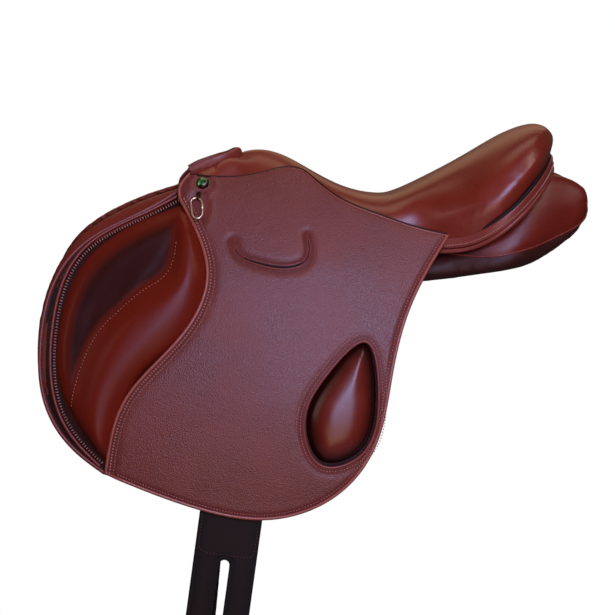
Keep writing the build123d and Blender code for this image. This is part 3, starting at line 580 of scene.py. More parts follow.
def under_depth(flat):
    """The under flap sinks between its two cords and again inside the pad's stitching."""
    to_front = nearest_on(under_front, flat)[0]
    to_cord = nearest_on(pad_cord, flat)[0]
    return SWEAT_DEPTH + 1.2 * bead(to_front, 5, 2.5) + 0.7 * bead(to_cord, 8.5, 2)


under = cut_hide(under_edge, cell=3.0)
shape_piece(under, under_depth, [under_front, pad_cord])
blocked(under)
under_area = sum(face.calc_area() for face in under.faces) / 1e6
unders = both_sides(under, "under flap", under_leather, "under_leather", "saddle",
                    ["sweat_flap"], thick=SWEAT_LEATHER)
both_sides(roll_along(joined(under_front, under_hem)[:-1], SWEAT_DEPTH + 0.4, 2.4), "under flap cord",
           roll_leather, "under_leather")
both_sides(roll_along(pad_cord, SWEAT_DEPTH - 0.9, 1.9), "knee pad cord", roll_leather,
           "under_leather")
under_thread = bmesh.new()
stitch_row(under_thread, shifted(pad_cord, 4.8), under_depth, pitch=3.4, length=1.6, width=4.4)
both_sides(blocked(under_thread), "knee pad stitching", red_thread, "under_leather")

# ---------------------------------------------------------------- knee block
# A block of dense foam under glossy calf. A sewn seam divides it into a flat hollow front with
# two raised ridges along its edge, and a firm roll that holds the thigh in front of the flap.
# Calf with painted shade: almost black in the hollow and red along the ridges and the roll.
knee_leather = leather("knee block calf, painted shade in the hollow", "#2c0b06", "#6a1c0d", "#360f08",
                       roughness=0.31, grain=1.0, relief=0.14, gloss=0.0, reach=16.0, shine=0.15)
knee_front = smooth_run([(-256, 98), (-318, 73), (-370, 32), (-397, -30), (-398, -104), (-349, -188)])
knee_rear = smooth_run([(-349, -188), (-338, -196), (-319, -132), (-242, -42), (-217, 22), (-229, 68),
                        (-250, 98), (-256, 98)])
knee_edge = joined(knee_front, knee_rear)
knee_seam = smooth_run([(-257, 84), (-260, 71), (-264, 43), (-274, 23), (-297, 8), (-325, -14), (-349, -37),
                        (-364, -60), (-375, -86), (-384, -117), (-385, -142), (-374, -164)])
knee_crest = smooth_run([(-250, 78), (-248, 46), (-252, 20), (-272, -2), (-302, -22), (-327, -50),
                         (-344, -82), (-355, -116), (-356, -150), (-352, -176)])


# Padded pieces are blown up a little by cloth simulation, held at their seams, so that the
# leather lies in the soft tension of real stuffing.
def joins_of(bm):
    """The two ends of each edge, and how many edges meet at each point."""
    ends = np.array([[edge.verts[0].index, edge.verts[1].index] for edge in bm.edges]).T
    return ends, np.bincount(ends.ravel(), minlength=len(bm.verts))[:, None]


def around(values, ends, count):
    """The mean of each point's neighbours."""
    return np.stack([np.bincount(ends[0], values[ends[1], k], len(values))
                     + np.bincount(ends[1], values[ends[0], k], len(values))
                     for k in range(3)], axis=1) / count


def plump(bm, held=None, pressure=4.0, most=3.0, frames=16):
    """Inflates a skin in millimetres; held points stay, and no point moves further than most."""
    mesh = bpy.data.meshes.new("skin")
    bmesh.ops.scale(bm, vec=(0.001, 0.001, 0.001), verts=bm.verts)
    bm.to_mesh(mesh)
    bmesh.ops.scale(bm, vec=(1000, 1000, 1000), verts=bm.verts)
    skin = bpy.data.objects.new("skin", mesh)
    bpy.context.scene.collection.objects.link(skin)
    cloth = skin.modifiers.new("cloth", "CLOTH")
    cloth.settings.use_pressure = True
    cloth.settings.uniform_pressure_force = pressure
    cloth.settings.effector_weights.gravity = 0
    cloth.settings.quality = 4
    if held is not None:
        pins = skin.vertex_groups.new(name="seams")
        pins.add([int(i) for i in np.flatnonzero(held)], 1.0, "REPLACE")
        cloth.settings.vertex_group_mass = "seams"
    cloth.point_cache.frame_end = frames
    for frame_number in range(1, frames + 1):
        bpy.context.scene.frame_set(frame_number)
    graph = bpy.context.evaluated_depsgraph_get()
    blown = skin.evaluated_get(graph).data
    shifts = np.array([moved.co * 1000 - vert.co for vert, moved in zip(bm.verts, blown.vertices)])
    shifts = np.nan_to_num(shifts)
    shifts *= np.minimum(1, most / (np.linalg.norm(shifts, axis=1) + 1e-6))[:, None]
    joins = joins_of(bm)
    for _ in range(4):
        shifts = (shifts + around(shifts, *joins)) / 2
    for vert, shift in zip(bm.verts, shifts):
        vert.co += Vector(shift)
    bpy.data.objects.remove(skin)
    bpy.data.meshes.remove(mesh)
    bpy.context.scene.frame_set(1)
    return bm


def rubbed(bm, passes, give=0.0, held=None):
    """Rubs a skin smooth; give is how much of each rub springs back, so that it keeps its size."""
    joins, places = joins_of(bm), places_of(bm)
    for factor in (0.5, -give) * passes if give else (0.5,) * passes:
        moved = places + factor * (around(places, *joins) - places)
        if held is not None:
            moved[held] = places[held]
        places = moved
    for vert, place in zip(bm.verts, places):
        vert.co = place
    return bm


def knee_depth(flat):
    """The hollow front, the seam's furrow and the roll behind it."""
    to_front = nearest_on(knee_front, flat)[0]
    to_rear = nearest_on(knee_rear, flat)[0]
    to_s, _, covered = nearest_on(s_edge, flat)
    to_seam, _, side = nearest_on(knee_seam, flat)
    to_crest, _, behind = nearest_on(knee_crest, flat)
    rise = to_seam / (to_seam + to_crest + 1e-6)
    fall = to_s / (to_s + to_crest + 1e-6)
    roll = np.where(behind > 0, 5.6 + 15.9 * np.sin(np.pi / 2 * fall) ** 0.85,
                    9.0 + 12.5 * swell(rise, 0, 1.0))
    roll = np.where(covered < 0, 5.6, roll)
    hollow = 9.0 - 1.6 * swell(to_front, 12, 36)
    hollow += 1.5 * bead(to_front, 11, 3.2) + 0.5 * bead(to_front, 5.5, 2.0)
    height = np.where(side > 0, roll, hollow)
    height *= np.sqrt(1 - (1 - np.clip(to_front / 9, 0, 1)) ** 2)
    height *= np.sqrt(1 - (1 - np.clip(to_rear / 4, 0, 1)) ** 2) * 0.94 + 0.06
    return SWEAT_DEPTH - height


knee = cut_hide(knee_edge, cell=2.5)
shape_piece(knee, knee_depth, [knee_front])
flat_knee = places_of(knee)[:, [0, 2]]
to_roll, _, roll_side = nearest_on(knee_seam, flat_knee)
# Painted shade: the colour runs dark in the hollow, away from the seam and front edge, and red on the roll.
shade = np.where(roll_side > 0, 8 - to_roll * 0.5,
                 np.minimum(to_roll * 1.6 + 9, nearest_on(knee_front, flat_knee)[0]))
hollow_shade = knee.verts.layers.float["seam"]
for vert, value in zip(knee.verts, shade):
    vert[hollow_shade] = value
rubbed(knee, 14, held=nearest_on(knee_edge, flat_knee)[0] < 0.5)
sewn = nearest_on(knee_seam, flat_knee)[0]
for vert, gap in zip(knee.verts, sewn):
    vert.co.y += 0.9 * math.exp(-(gap / 2.2) ** 2)
sewn = np.minimum(nearest_on(knee_edge, flat_knee)[0], sewn) < 1.5
knee_skin = BVHTree.FromBMesh(knee)
blocked(knee)
plump(knee, sewn, pressure=3.0, most=1.5, frames=10)
for piece in both_sides(knee, "knee block cover", knee_leather, "block_leather",
                        stands_for=["knee_block"], rounded=1):
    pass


def knee_face(flat):
    """The depth of the finished block's face."""
    return np.array([knee_skin.ray_cast(Vector((x, -500, z)), Vector((0, 1, 0)))[0].y for x, z in flat])


knee_thread = bmesh.new()
stitch_row(knee_thread, shifted(knee_seam[12:-18], 2.4), knee_face, pitch=4.2, length=2.2, width=1.2)
both_sides(blocked(knee_thread), "knee block stitching", red_thread, "block_leather")

# ---------------------------------------------------------------- thigh block
# An egg of firm foam under one pulled piece of glossy calf. It fills the flap's cut-out, and its
# edge drops below the flap.
# Plated calf pulled tight, with a clear highlight; its dark rim is painted shade.
smooth_leather = leather("smooth calf, plated glossy", "#66190e", "#2c0805", "#742412",
                         roughness=0.26, grain=0.9, relief=0.10, gloss=0.10, reach=12.0, shine=0.45)
thigh_line = smooth_run([(-38.5, -56.6), (-83.2, -94.3), (-107.7, -151.0), (-88.4, -192.7),
                         (-53.0, -186.8), (-25.1, -114.3)], closed=True)


def thigh_depth(flat):
    """The egg's face, steep at its edge and almost flat over the middle."""
    rise = np.clip(nearest_on(thigh_line, flat)[0] / 33, 0, 1)
    return SWEAT_DEPTH - 17.5 * (1 - (1 - rise) ** 2) ** 0.62


thigh = cut_hide(thigh_line, cell=2.2)
shape_piece(thigh, thigh_depth, [thigh_line])
flat_thigh = places_of(thigh)[:, [0, 2]]
held_thigh = nearest_on(thigh_line, flat_thigh)[0] < 1.5
blocked(thigh)
plump(thigh, held_thigh, pressure=3.0, most=1.5, frames=10)
for piece in both_sides(thigh, "thigh block cover", smooth_leather, "block_leather",
                        stands_for=["thigh_block"], rounded=1):
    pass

# ---------------------------------------------------------------- panels
# Two wool-flocked cushions that lie along the horse's back, each made of an upper piece and a
# gusset of the same calf joined by a narrow turned seam, and a flat padded facing at the front.
def skin_of(nodes, voxel, smoothing=2, give=0.0):
    """The outside of CAD solids as one even closed skin, in millimetres."""
    bm = bmesh.new()
    for node in nodes:
        bm.from_mesh(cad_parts[node].data)
    bmesh.ops.remove_doubles(bm, verts=bm.verts, dist=0.00001)
    mesh = bpy.data.meshes.new("solid")
    bm.to_mesh(mesh)
    bm.free()
    solid = bpy.data.objects.new("solid", mesh)
    bpy.context.scene.collection.objects.link(solid)
    even = solid.modifiers.new("even", "REMESH")
    even.mode = "VOXEL"
    even.voxel_size = voxel / 1000
    graph = bpy.context.evaluated_depsgraph_get()
    skin = bmesh.new()
    skin.from_mesh(solid.evaluated_get(graph).data)
    bpy.data.objects.remove(solid)
    bpy.data.meshes.remove(mesh)
    bmesh.ops.scale(skin, vec=(1000, 1000, 1000), verts=skin.verts)
    rearmost = max(skin.verts, key=lambda vert: vert.co.x)
    outer, waiting = {rearmost}, [rearmost]
    while waiting:
        for edge in waiting.pop().link_edges:
            for vert in edge.verts:
                if vert not in outer:
                    outer.add(vert)
                    waiting.append(vert)
    bmesh.ops.delete(skin, geom=[vert for vert in skin.verts if vert not in outer], context="VERTS")
    skin.verts.index_update()
    return rubbed(skin, smoothing, give)


def mark_seams(bm, lines):
    """Gives each point of a solid skin its distance in the side view to the nearest seam."""
    places = places_of(bm)
    near = np.full(len(places), 60.0)
    for line in lines:
        near = np.minimum(near, nearest_on(line, places[:, [0, 2]])[0])
    layer = bm.verts.layers.float.new("seam")
    for vert, gap in zip(bm.verts, near):
        vert[layer] = gap
    return bm


# Soft satin calf; the gusset and all forward of the cantle are matt and darkened with painted shade.
panel_leather = leather("panel calf, painted shade on the gusset", "#641a0e", "#380f07", "#702214",
                        roughness=0.34, grain=1.0, relief=0.14, gloss=0.0, dull=0.2, shine=0.34)
# A paler calf, so that a red band shows in front of the under flap.
facing_leather = leather("front facing calf", "#7e2e1e", "#6e2416", "#8a3828",
                         roughness=0.38, grain=1.0, relief=0.14, gloss=0.0, shine=0.35)
gusset = smooth_run([(40, 41), (71, 41), (116, 40), (152, 46), (185, 55), (213, 66), (233, 76),
                     (241, 86), (240, 100)])
PANEL_STRETCH = 6.5     # the flock carries the rear end back this far
panel = skin_of(["near_panel"], voxel=4.5, smoothing=40, give=0.51)
for vert in panel.verts:
    vert.co.x += PANEL_STRETCH * swell(vert.co.x, 180, 238)
plump(panel, pressure=4.0, most=3.0)
for vert in panel.verts:
    if vert.co.y < -50:
        gap = nearest_on(gusset, np.array([[vert.co.x, vert.co.z]]))[0][0]
        vert.co += vert.normal * (-1.6 * math.exp(-(gap / 3.5) ** 2))
mark_seams(panel, [])
# Painted shade: the gusset and the part forward of the cantle take the dark edge colour.
panel_shade = panel.verts.layers.float["seam"]
for vert in panel.verts:
    over = vert.co.z - np.interp(vert.co.x, gusset[:, 0], gusset[:, 1])
    vert[panel_shade] = 4.5 + 16.0 * swell(vert.co.x, 85, 150) * swell(over, -2, 3)
panel_tree = BVHTree.FromBMesh(panel)


def laid_on(tree, line, lift, start=(0, -500), toward=(0, 1, 0)):
    """The places on a skin behind each place of a side-view line, lifted off it a little."""
    laid = []
    for x, z in line:
        hit, normal, _, _ = tree.ray_cast(Vector((x, start[1], z)), Vector(toward))
        if hit:
            laid.append(hit + normal * lift)
    return laid


gusset_roll = round_roll(laid_on(panel_tree, gusset, 0.3), 1.1)
for piece in both_sides(panel, "flocked panel", panel_leather, "panel_leather",
                        stands_for=["panel"], rounded=1):
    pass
both_sides(gusset_roll, "gusset seam", roll_leather, "panel_leather")

facing = skin_of(["near_panel_facing"], voxel=4.0, smoothing=8, give=0.45)
plump(facing, pressure=4.0, most=2.5)
mark_seams(facing, [under_front])
for piece in both_sides(facing, "front facing", facing_leather, "panel_leather",
                        stands_for=["panel_facing"], rounded=1):
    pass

# ---------------------------------------------------------------- seat
# Foam under one blocked seat of satin calf. Its side stands out in a full roll at thigh height
# and turns in beneath it to the welt, so a deep shadow lies all round the cantle.
# Satin calf, blocked wet over the foam, with the heaviest wax coat of the leathers.
seat_leather = leather("seat calf, satin", "#722011", "#722011", "#802b18",
                       roughness=0.30, grain=1.0, relief=0.14, gloss=0.24)
SIDE_HEM = [(-241, 104), (-110, 98), (-56, 86), (0, 74), (64, 62), (120, 82), (150, 106), (175, 130),
            (192, 147), (203, 158)]
TUCK_IN = 3.0           # the hem turns in this far
ROLL_OUT = 3.4          # the roll stands out this far
HEM_DROP = 9.0          # the hem hangs this far below the foam


def tuck_seat(bm):
    """Turns the seat's side in below its roll and swells it a little at the roll."""
    places = places_of(bm)
    x, y, z = places.T
    stations = np.array(SIDE_HEM, float)
    hem = np.interp(x, stations[:, 0], stations[:, 1])
    below = np.clip((hem + 24 - z) / 24, 0, 1)
    tuck = swell(x, 30, 85) * (TUCK_IN * below ** 1.5 - ROLL_OUT * bead(z, hem + 22, 11))
    drop = (swell(x, 30, 85) * HEM_DROP + 7.0 * bead(x, 84, 34)) * below
    outward = np.stack([np.maximum(x - 120, 0) * 0.75, y], axis=1)
    outward /= np.linalg.norm(outward, axis=1)[:, None] + 1e-6
    side = swell(np.hypot(np.maximum(x - 120, 0), y), 30, 55)
    for vert, out, far, down in zip(bm.verts, outward, tuck * side, drop * side):
        vert.co.x -= out[0] * far
        vert.co.y -= out[1] * far
        vert.co.z -= down


STRIP = [(-243.0, -22.5, 137.8), (-233.0, -22.6, 143.4), (-219.0, -22.6, 148.6), (-205.0, -21.8, 153.2),
         (-191.0, -16.5, 157.8), (-183.0, -8.0, 160.4)]


def raise_head(bm):
    """Brings the seat's leather up to the foot of the strip round the cut-back."""
    skin = BVHTree.FromBMesh(bm)
    run = np.array(STRIP + [(-181.0, 0.0, 161.0)] + [(x, -y, z) for x, y, z in reversed(STRIP)])
    run = smooth_run(run)
    places = places_of(bm)
    away, foot, _ = nearest_on(run[:, :2], places[:, :2])
    lifts = []
    for x, y, z in run:
        far = 1 + 8 / max(math.hypot(max(x + 205, 0), y), 1)
        x = x if x < -205 else -205 + (x + 205) * far
        hit = skin.ray_cast(Vector((x, y * far, 300)), Vector((0, 0, -1)))[0]
        lifts.append(max(0, z - 3.5 - hit.z) if hit else 0)
    order = np.argsort(run[:, 1])
    lift = np.interp(foot[:, 1], run[order, 1], np.array(lifts)[order])
    for vert, gap, up in zip(bm.verts, away, lift):
        if vert.co.z > 110:
            vert.co.z += up * math.exp(-(max(gap - 5, 0) / 15) ** 2)


seat = rubbed(skin_of(["seat_cover", "seat_foam"], voxel=4.0, smoothing=14, give=0.48), 6)
tuck_seat(seat)
raise_head(seat)
plump(seat, pressure=4.0, most=2.0, frames=12)
seam_layer = seat.verts.layers.float.new("seam")
for vert in seat.verts:
    vert[seam_layer] = 40.0
seat_piece = place_piece(seat, "seat", seat_leather, "seat_leather", "saddle",
                         ["seat_cover", "seat_foam"], rounded=1)

# ---------------------------------------------------------------- leather round the cut-back head
# A strip on a flat cord stands up along both sides of the cut-back and across behind it, and a
# facing closes the front of the head. The strip is rolled leather, the facing under flap hide.
def strip_along(path, profile):
    """A flat strip of leather swept along a path, kept upright."""
    section = bpy.data.curves.new("section", "CURVE")
    outline = section.splines.new("POLY")
    outline.points.add(len(profile) - 1)
    outline.use_cyclic_u = True
    for point, (across, up) in zip(outline.points, profile):
        point.co = (across, up, 0, 1)
    shape = bpy.data.objects.new("section", section)
    bpy.context.scene.collection.objects.link(shape)
    curve = bpy.data.curves.new("strip", "CURVE")
    curve.dimensions = "3D"
    curve.twist_mode = "Z_UP"
    curve.bevel_mode = "OBJECT"
    curve.bevel_object = shape
    curve.use_fill_caps = True
    spline = curve.splines.new("POLY")
    spline.points.add(len(path) - 1)
    for point, place in zip(spline.points, path):
        point.co = (*place, 1)
    bm = mesh_of(curve)
    bpy.data.objects.remove(shape)
    bpy.data.curves.remove(section)
    return bm


def oval(wide, high, square=2.6, count=20):
    """A rounded oblong section."""
    turns = np.linspace(0, 2 * np.pi, count, endpoint=False)
    c, s = np.cos(turns), np.sin(turns)
    return np.stack([wide / 2 * np.sign(c) * np.abs(c) ** (2 / square),
                     high / 2 * np.sign(s) * np.abs(s) ** (2 / square)], axis=1)


strip_run = smooth_run(STRIP + [(-181.0, 0.0, 156.6)] + [(x, -y, z) for x, y, z in reversed(STRIP)])
rim = strip_along(strip_run, oval(6.5, 8.5, square=5.0))
place_piece(mark_seams(rim, []), "cut_back_strip", roll_leather, "seat_leather", "saddle", ["pommel_rim"])
place_piece(mark_seams(strip_along(strip_run - np.array([0, 0, 4.4]), oval(8.4, 2.2)), []), "strip_cord",
            roll_leather, "seat_leather", "saddle")
head_facing = skin_of(["pommel_facing"], voxel=1.2, smoothing=2)
mark_seams(head_facing, [])
place_piece(head_facing, "head_facing", under_leather, "seat_leather", "saddle", ["pommel_facing"])

# ---------------------------------------------------------------- welt round the cantle
# A flat stitched strip is let in between seat and panel, with a thinner one below it. Dark lining
# closes the gap between the strip and the seat's hem.
WELT = [(56, -89, 54), (92, -101, 59), (124, -112, 76), (151, -110, 98), (174, -94, 121),
        (191, -62, 138), (202, -24, 148)]


def round_the_back(points):
    """The smooth line through near-side points and their mirror images, in three dimensions."""
    both = points + [(x, -y, z) for x, y, z in reversed(points)]
    return smooth_run(both, step=3.0)


welt_path = round_the_back(WELT)
welt = strip_along(welt_path, oval(6.0, 12.5, square=4.0))
place_piece(mark_seams(welt, []), "welt_strip", roll_leather, "welt_leather", "saddle", ["cantle_welt"])
# A near-black bead along the top of the welt, under the seat's hem, is a painted shadow.
shadow_path = welt_path + np.array([0, 0, 7.0])
shadow_path[:, 0] *= 0.985
shadow_path[:, 1] *= 0.965 + 0.035 * swell(shadow_path[:, 0], 95, 150)
place_piece(mark_seams(strip_along(shadow_path, oval(7.0, 5.0)), []), "welt_shadow_bead",
            strap_leather, "welt_leather", "saddle")
piping_path = welt_path + np.array([1.5, 0, -9.4])
piping = strip_along(piping_path, oval(6.5, 5.5))
place_piece(mark_seams(piping, []), "lower_welt", roll_leather, "welt_leather", "saddle",
            ["cantle_piping"])
inward = welt_path * (1, 0.92, 1) + np.array([-9.0, 0, 6.0])
place_piece(mark_seams(strip_along(inward, oval(10.0, 28.0)), []), "cantle_lining", under_leather,
            "welt_leather", "saddle")
welt_row = bmesh.new()
ahead = np.gradient(welt_path, axis=0)
ahead /= np.linalg.norm(ahead, axis=1)[:, None]
aside = np.stack([ahead[:, 1], -ahead[:, 0]], axis=1)
aside /= np.linalg.norm(aside, axis=1)[:, None]
for place, way, side in zip(welt_path[1:-1], ahead[1:-1], aside[1:-1]):
    out = Vector((side[0], side[1], 0))
    bmesh.ops.create_icosphere(
        welt_row, subdivisions=1, radius=0.5,
        matrix=Matrix.Translation(Vector(place) + out * 3.0 - Vector((0, 0, 2.6)))
        @ Vector(way).to_track_quat("X", "Z").to_matrix().to_4x4() @ Matrix.Diagonal((2.6, 2.6, 2.2, 1)))
place_piece(welt_row, "welt_stitching", red_thread, "welt_leather", "saddle")

# ---------------------------------------------------------------- forked billet
# Doubled butt leather, stitched round its edge, split into two legs with five buckle holes
# each. It hangs from the girth webbing, which comes down from the tree.
BILLET_DEPTH = 6.0      # its face lies this far below the outer flap's
BILLET_LEATHER = 4.0
LEG = 209.0             # length of each leg below the fork
HANG = np.array([-157.9, 20.0])
STRAP_LEANS = {"near": math.radians(8.0), "off": math.radians(5.5)}


def rounded_oblong(x0, x1, z0, z1, radius):
    """A closed outline with round corners, about 1.5 mm between places."""
    line = []
    for corner_x, corner_z, begin in ((x1 - radius, z0 + radius, -90), (x1 - radius, z1 - radius, 0),
                                      (x0 + radius, z1 - radius, 90), (x0 + radius, z0 + radius, 180)):
        turns = np.radians(np.linspace(begin, begin + 90, 10))
        line += list(np.stack([corner_x + radius * np.cos(turns), corner_z + radius * np.sin(turns)], 1))
    return evenly(np.array(line + line[:1]), 1.5)


def forked_strap(side):
    """One strap with its stitching, drawn across and up from its fork and leaning forward."""
    lean = STRAP_LEANS[side]
    fork_top = np.array([HANG[0] - 328 * math.tan(lean), -308.0])

    def leaning(line):
        """A line drawn from the fork, turned to the strap's lean."""
        across, up = line.T
        return fork_top + np.stack([across * math.cos(lean) + up * math.sin(lean),
                                    up * math.cos(lean) - across * math.sin(lean)], axis=1)

    edge = leaning(rounded_oblong(-37, 37, -LEG, 338, 12))
    fork = leaning(rounded_oblong(-6, 6, -LEG - 30, 0, 5.9))
    holes = [leaning(rounded_oblong(leg * 21.5 - 2.6, leg * 21.5 + 2.6, up - 2.6, up + 2.6, 2.55))
             for leg in (-1, 1) for up in (36 - LEG + 25 * hole for hole in range(5))]

    def depth_at(flat):
        """The strap's face, with a crease inside its edges."""
        to_edge = nearest_on(edge, flat)[0]
        nearest = np.minimum(to_edge, nearest_on(fork, flat)[0])
        return BILLET_DEPTH + 0.5 * bead(nearest, 4, 1.2) + 0.6 * (1 - swell(nearest, 0, 2))

    strap = cut_hide(edge, [fork, *holes], cell=1.6)
    shape_piece(strap, depth_at, [edge, fork])
    rows = bmesh.new()
    stitch_row(rows, leaning(rounded_oblong(-33, 33, 6, 334, 9)), depth_at, pitch=4.0, length=2.6,
               width=0.8)
    return blocked(strap), blocked(rows)


for side in ("near", "off"):
    strap, rows = forked_strap(side)
    strap_area = sum(face.calc_area() for face in strap.faces) / 1e6
    if side == "off":
        for bm in (strap, rows):
            bmesh.ops.scale(bm, vec=(1, -1, 1), verts=bm.verts)
            bmesh.ops.reverse_faces(bm, faces=bm.faces)
    piece = place_piece(strap, f"{side}_forked_strap", strap_leather, "billet_leather",
                        f"{side}_strap", [f"{side}_billet"], thick=BILLET_LEATHER)
    place_piece(rows, f"{side}_strap_stitching", dark_thread, "billet_leather", f"{side}_strap")

# ---------------------------------------------------------------- webbing
# Plain-woven linen web, 28, 48 and 60 mm wide: two run along the tree below the foam, one runs
# across it, and one comes down from it to each billet.
def woven(name, code, light, pitch=2.4):
    """Linen web: two sets of yarns crossing."""
    material, shader = new_material(name, 0.8, Sheen_Weight=0.3)
    place = add_node(material, "ShaderNodeTexCoord")
    yarns = [add_node(material, "ShaderNodeTexWave", [(place, "Object", "Vector")], Scale=320.0 / pitch,
                      bands_direction=way, Distortion=0.6) for way in ("X", "Y")]
    weave = add_node(material, "ShaderNodeMath", [(yarns[0], "Fac", 0), (yarns[1], "Fac", 1)],
                     operation="MULTIPLY")
    tone = tint_ramp(material, weave, "Value", [(0.1, code), (0.6, light)])
    bump = add_node(material, "ShaderNodeBump", [(weave, "Value", "Height")], Strength=0.5,
                    Distance=0.0006)
    material.node_tree.links.new(tone.outputs["Color"], shader.inputs["Base Color"])
    material.node_tree.links.new(bump.outputs["Normal"], shader.inputs["Normal"])
    return material


linen = woven("woven linen web", "#8f8368", "#c4b896")
for node in ("seat_webs", "cross_web"):
    place_piece(skin_of([node], voxel=0.9, smoothing=1), f"{node}_linen", linen, "webbing", "saddle",
                [node])
both_sides(skin_of(["near_girth_web"], voxel=0.9, smoothing=1), "girth web linen", linen, "webbing",
           stands_for=["girth_web"])

# ---------------------------------------------------------------- tree, plates and springs
# Beech laminate cut with the layers showing at its edges, riveted mild steel plates, and two
# blued spring steels that let the seat give.
def laminate(name, pale, dark, layer=1.5):
    """Beech ply: 1.5 mm layers at the edges, fine flecks on the faces."""
    material, shader = new_material(name, 0.55, Coat_Weight=0.25)
    place = add_node(material, "ShaderNodeTexCoord")
    layers = add_node(material, "ShaderNodeTexWave", [(place, "Object", "Vector")],
                      Scale=320.0 / layer / 2, bands_direction="Z", Distortion=1.5, Detail=2.0)
    flecks = add_node(material, "ShaderNodeTexNoise", [(place, "Object", "Vector")], Scale=400.0)
    mixed = add_node(material, "ShaderNodeMath", [(layers, "Fac", 0), (flecks, "Fac", 1)],
                     operation="MULTIPLY")
    tone = tint_ramp(material, mixed, "Value", [(0.15, dark), (0.5, pale)])
    material.node_tree.links.new(tone.outputs["Color"], shader.inputs["Base Color"])
    return material


def metal(name, code, roughness, brushed=600.0, worn=0.06):
    """Worked metal: tiny scratches vary its gloss."""
    material, shader = new_material(name, roughness, Metallic=1.0)
    place = add_node(material, "ShaderNodeTexCoord")
    scratches = add_node(material, "ShaderNodeTexNoise", [(place, "Object", "Vector")],
                         Scale=brushed, Detail=4.0)
    gloss = add_node(material, "ShaderNodeMapRange", [(scratches, "Fac", "Value")])
    gloss.inputs["To Min"].default_value = roughness - worn
    gloss.inputs["To Max"].default_value = roughness + worn
    tone = tint_ramp(material, scratches, "Fac", [(0.3, code), (0.8, code)])
    tone.color_ramp.elements[1].color = [min(1, c * 1.25) for c in linear(code)[:3]] + [1]
    material.node_tree.links.new(tone.outputs["Color"], shader.inputs["Base Color"])
    material.node_tree.links.new(gloss.outputs["Result"], shader.inputs["Roughness"])
    return material


def finish_node(node, material):
    """Gives a carried-over solid its finish."""
    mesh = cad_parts[node].data
    if not mesh.materials:
        mesh.materials.append(material)
    for place in range(len(mesh.materials)):
        mesh.materials[place] = material
    mesh.shade_smooth()


beech = laminate("beech laminate, varnished", "#b98a5a", "#6e4828")
mild_steel = metal("mild steel, rolled", "#7d8084", 0.42)
blued_steel = metal("spring steel, blued", "#3b424f", 0.35)
forged = metal("forged stainless steel, tumbled", "#b9b9b6", 0.28)
finish_node("spring_tree", beech)
for node in ("head_plate", "gullet_plate", "head_rivets"):
    finish_node(node, mild_steel)
for side in ("near", "off"):
    finish_node(f"{side}_spring_steel", blued_steel)
    finish_node(f"{side}_bar_rivets", mild_steel)
    for node in ("stirrup_bar", "bar_catch", "catch_pin"):
        finish_node(f"{side}_{node}", forged)

# ---------------------------------------------------------------- nail head and dee ring
# A brass nail darkened as painted shade, with a green glass enamel cap, and a pale brass ring in its keeper.
brass = metal("polished brass, pale gold", "#e2cfb0", 0.32, brushed=900.0, worn=0.02)
shade_darkened_brass = metal("brass, blackened", "#3a2418", 0.40)
enamel, enamel_shader = new_material("vitreous enamel, deep green", 0.08, IOR=1.52, Coat_Weight=0.6,
                                     Coat_Roughness=0.03)
place = add_node(enamel, "ShaderNodeTexCoord")
facets = add_node(enamel, "ShaderNodeTexVoronoi", [(place, "Object", "Vector")], Scale=380.0)
shades = tint_ramp(enamel, facets, "Color", [(0.25, "#04240a"), (0.6, "#0f5a1a"), (0.9, "#5fae62")])
facet_bump = add_node(enamel, "ShaderNodeBump", [(facets, "Distance", "Height")], Strength=0.4,
                      Distance=0.0008)
enamel.node_tree.links.new(shades.outputs["Color"], enamel_shader.inputs["Base Color"])
enamel.node_tree.links.new(facet_bump.outputs["Normal"], enamel_shader.inputs["Normal"])
lean = float(side_y(-227, 127, 0) - side_y(-227, 125, 0)) / 2
facing_out = Vector((0, -1, lean)).normalized()
dome = bmesh.new()
bmesh.ops.create_uvsphere(dome, u_segments=32, v_segments=16, radius=1.0)
bmesh.ops.transform(dome, verts=dome.verts, matrix=Matrix.Translation(
    Vector((-226.5, float(side_y(-226.5, 125.6, 0)), 125.6)) + facing_out * 1.4)
    @ facing_out.to_track_quat("Z", "X").to_matrix().to_4x4() @ Matrix.Diagonal((7.8, 7.8, 3.6, 1)))
both_sides(dome, "enamel dome", enamel, "nail_enamel", stands_for=["nail_cap"])
ring_line = rounded_oblong(-6.6, 6.6, -12.4, 10.6, 6.2) @ np.array([[0.996, 0.09], [-0.09, 0.996]])
ring_line[:, 0] *= 1 + 0.008 * ring_line[:, 1]
ring_line += (-234.2, 98.6)
ring = roll_along(ring_line, -3.4, 1.15)
collar = roll_along(ring_line[9:13], -3.4, 1.9)
both_sides(ring, "dee ring", brass, "ring_metal", "ring", stands_for=["dee_ring"])
both_sides(collar, "dee ring collar", brass, "ring_metal", "ring")
for side in ("near", "off"):
    finish_node(f"{side}_head_nail", shade_darkened_brass)
    finish_node(f"{side}_dee_keeper", shade_darkened_brass)

# ---------------------------------------------------------------- studio
# A pale floor of painted board, one strong cool softbox in front with five weak warm ones round
# the saddle, and a long lens at saddle-rack height.
def matt_board(name, code):
    """White board, evenly pale to the lens, which lights the saddle as plain painted board."""
    material, shader = new_material(name, 0.9)
    place = add_node(material, "ShaderNodeTexCoord")
    roller = add_node(material, "ShaderNodeTexNoise", [(place, "Object", "Vector")], Scale=60.0)
    tone = tint_ramp(material, roller, "Fac", [(0.0, code), (1.0, "#7a7a7a")])
    material.node_tree.links.new(tone.outputs["Color"], shader.inputs["Base Color"])
    seen = add_node(material, "ShaderNodeLightPath")
    glow = add_node(material, "ShaderNodeEmission", Color=linear("#ffffff"), Strength=1.0)
    lit = add_node(material, "ShaderNodeMixShader", [(seen, "Is Camera Ray", 0), (shader, "BSDF", 1),
                                                     (glow, "Emission", 2)])
    output = material.node_tree.nodes["Material Output"]
    material.node_tree.links.new(lit.outputs["Shader"], output.inputs["Surface"])
    return material


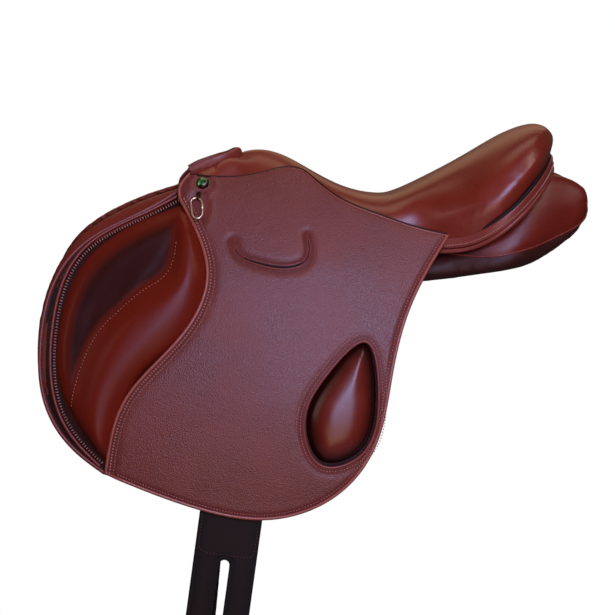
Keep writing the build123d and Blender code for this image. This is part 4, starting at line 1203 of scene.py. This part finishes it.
floor_bm = bmesh.new()
bmesh.ops.create_grid(floor_bm, x_segments=2, y_segments=2, size=6.0,
                      matrix=Matrix.Translation((0, 2.0, -0.95)))
floor_mesh = bpy.data.meshes.new("floor")
floor_bm.to_mesh(floor_mesh)
floor_bm.free()
floor_mesh.materials.append(matt_board("painted board, white", "#8a8a8a"))
floor = bpy.data.objects.new("floor", floor_mesh)
bpy.context.scene.collection.objects.link(floor)

aim = Vector((-0.097, 0.0, -0.035))
azimuth, elevation, away = math.radians(-3), math.radians(8), 2.6
back = Vector((math.sin(azimuth) * math.cos(elevation), -math.cos(azimuth) * math.cos(elevation),
               math.sin(elevation)))
camera_data = bpy.data.cameras.new("camera")
camera_data.sensor_width = 36
camera_data.lens = 121.8
camera_data.clip_end = 60
camera = bpy.data.objects.new("camera", camera_data)
bpy.context.scene.collection.objects.link(camera)
camera.location = aim + back * away
camera.rotation_euler = back.to_track_quat("Z", "Y").to_euler()
bpy.context.scene.camera = camera


def softbox(name, azimuth, elevation, distance, wide, high, watts, colour):
    """An area light round the saddle, facing it."""
    a, e = math.radians(azimuth), math.radians(elevation)
    way = Vector((math.sin(a) * math.cos(e), -math.cos(a) * math.cos(e), math.sin(e)))
    light = bpy.data.lights.new(name, "AREA")
    light.shape = "RECTANGLE"
    light.size, light.size_y = wide, high
    light.energy = watts
    light.color = linear(colour)[:3]
    lamp = bpy.data.objects.new(name, light)
    bpy.context.scene.collection.objects.link(lamp)
    lamp.location = way * distance
    lamp.rotation_euler = way.to_track_quat("Z", "Y").to_euler()


softbox("key", 5, 28, 2.4, 1.1, 1.8, 54, "#c0c8ff")
softbox("fill", -2, -6, 2.4, 1.6, 0.8, 9, "#ffd2b4")
softbox("top", 180, 78, 2.2, 1.8, 1.0, 7, "#ffe0c4")
softbox("back", 180, 30, 2.7, 2.6, 1.4, 6, "#ffc9a0")
softbox("left", -62, 24, 2.4, 0.8, 1.2, 4, "#ffe2d2")
softbox("right", 50, 50, 2.4, 0.8, 1.0, 9, "#ffeade")
world = bpy.data.worlds.new("studio")
world.use_nodes = True
sky = world.node_tree
sky.nodes.clear()
seen = sky.nodes.new("ShaderNodeLightPath")
white = sky.nodes.new("ShaderNodeBackground")
white.inputs["Color"].default_value = linear("#ffffff")
room = sky.nodes.new("ShaderNodeBackground")
room.inputs["Color"].default_value = linear("#e6cabb")
room.inputs["Strength"].default_value = 0.10
either = sky.nodes.new("ShaderNodeMixShader")
sky.links.new(seen.outputs["Is Camera Ray"], either.inputs[0])
sky.links.new(room.outputs[0], either.inputs[1])
sky.links.new(white.outputs[0], either.inputs[2])
sky.links.new(either.outputs[0], sky.nodes.new("ShaderNodeOutputWorld").inputs["Surface"])
bpy.context.scene.world = world
bpy.context.scene.view_settings.view_transform = "Standard"
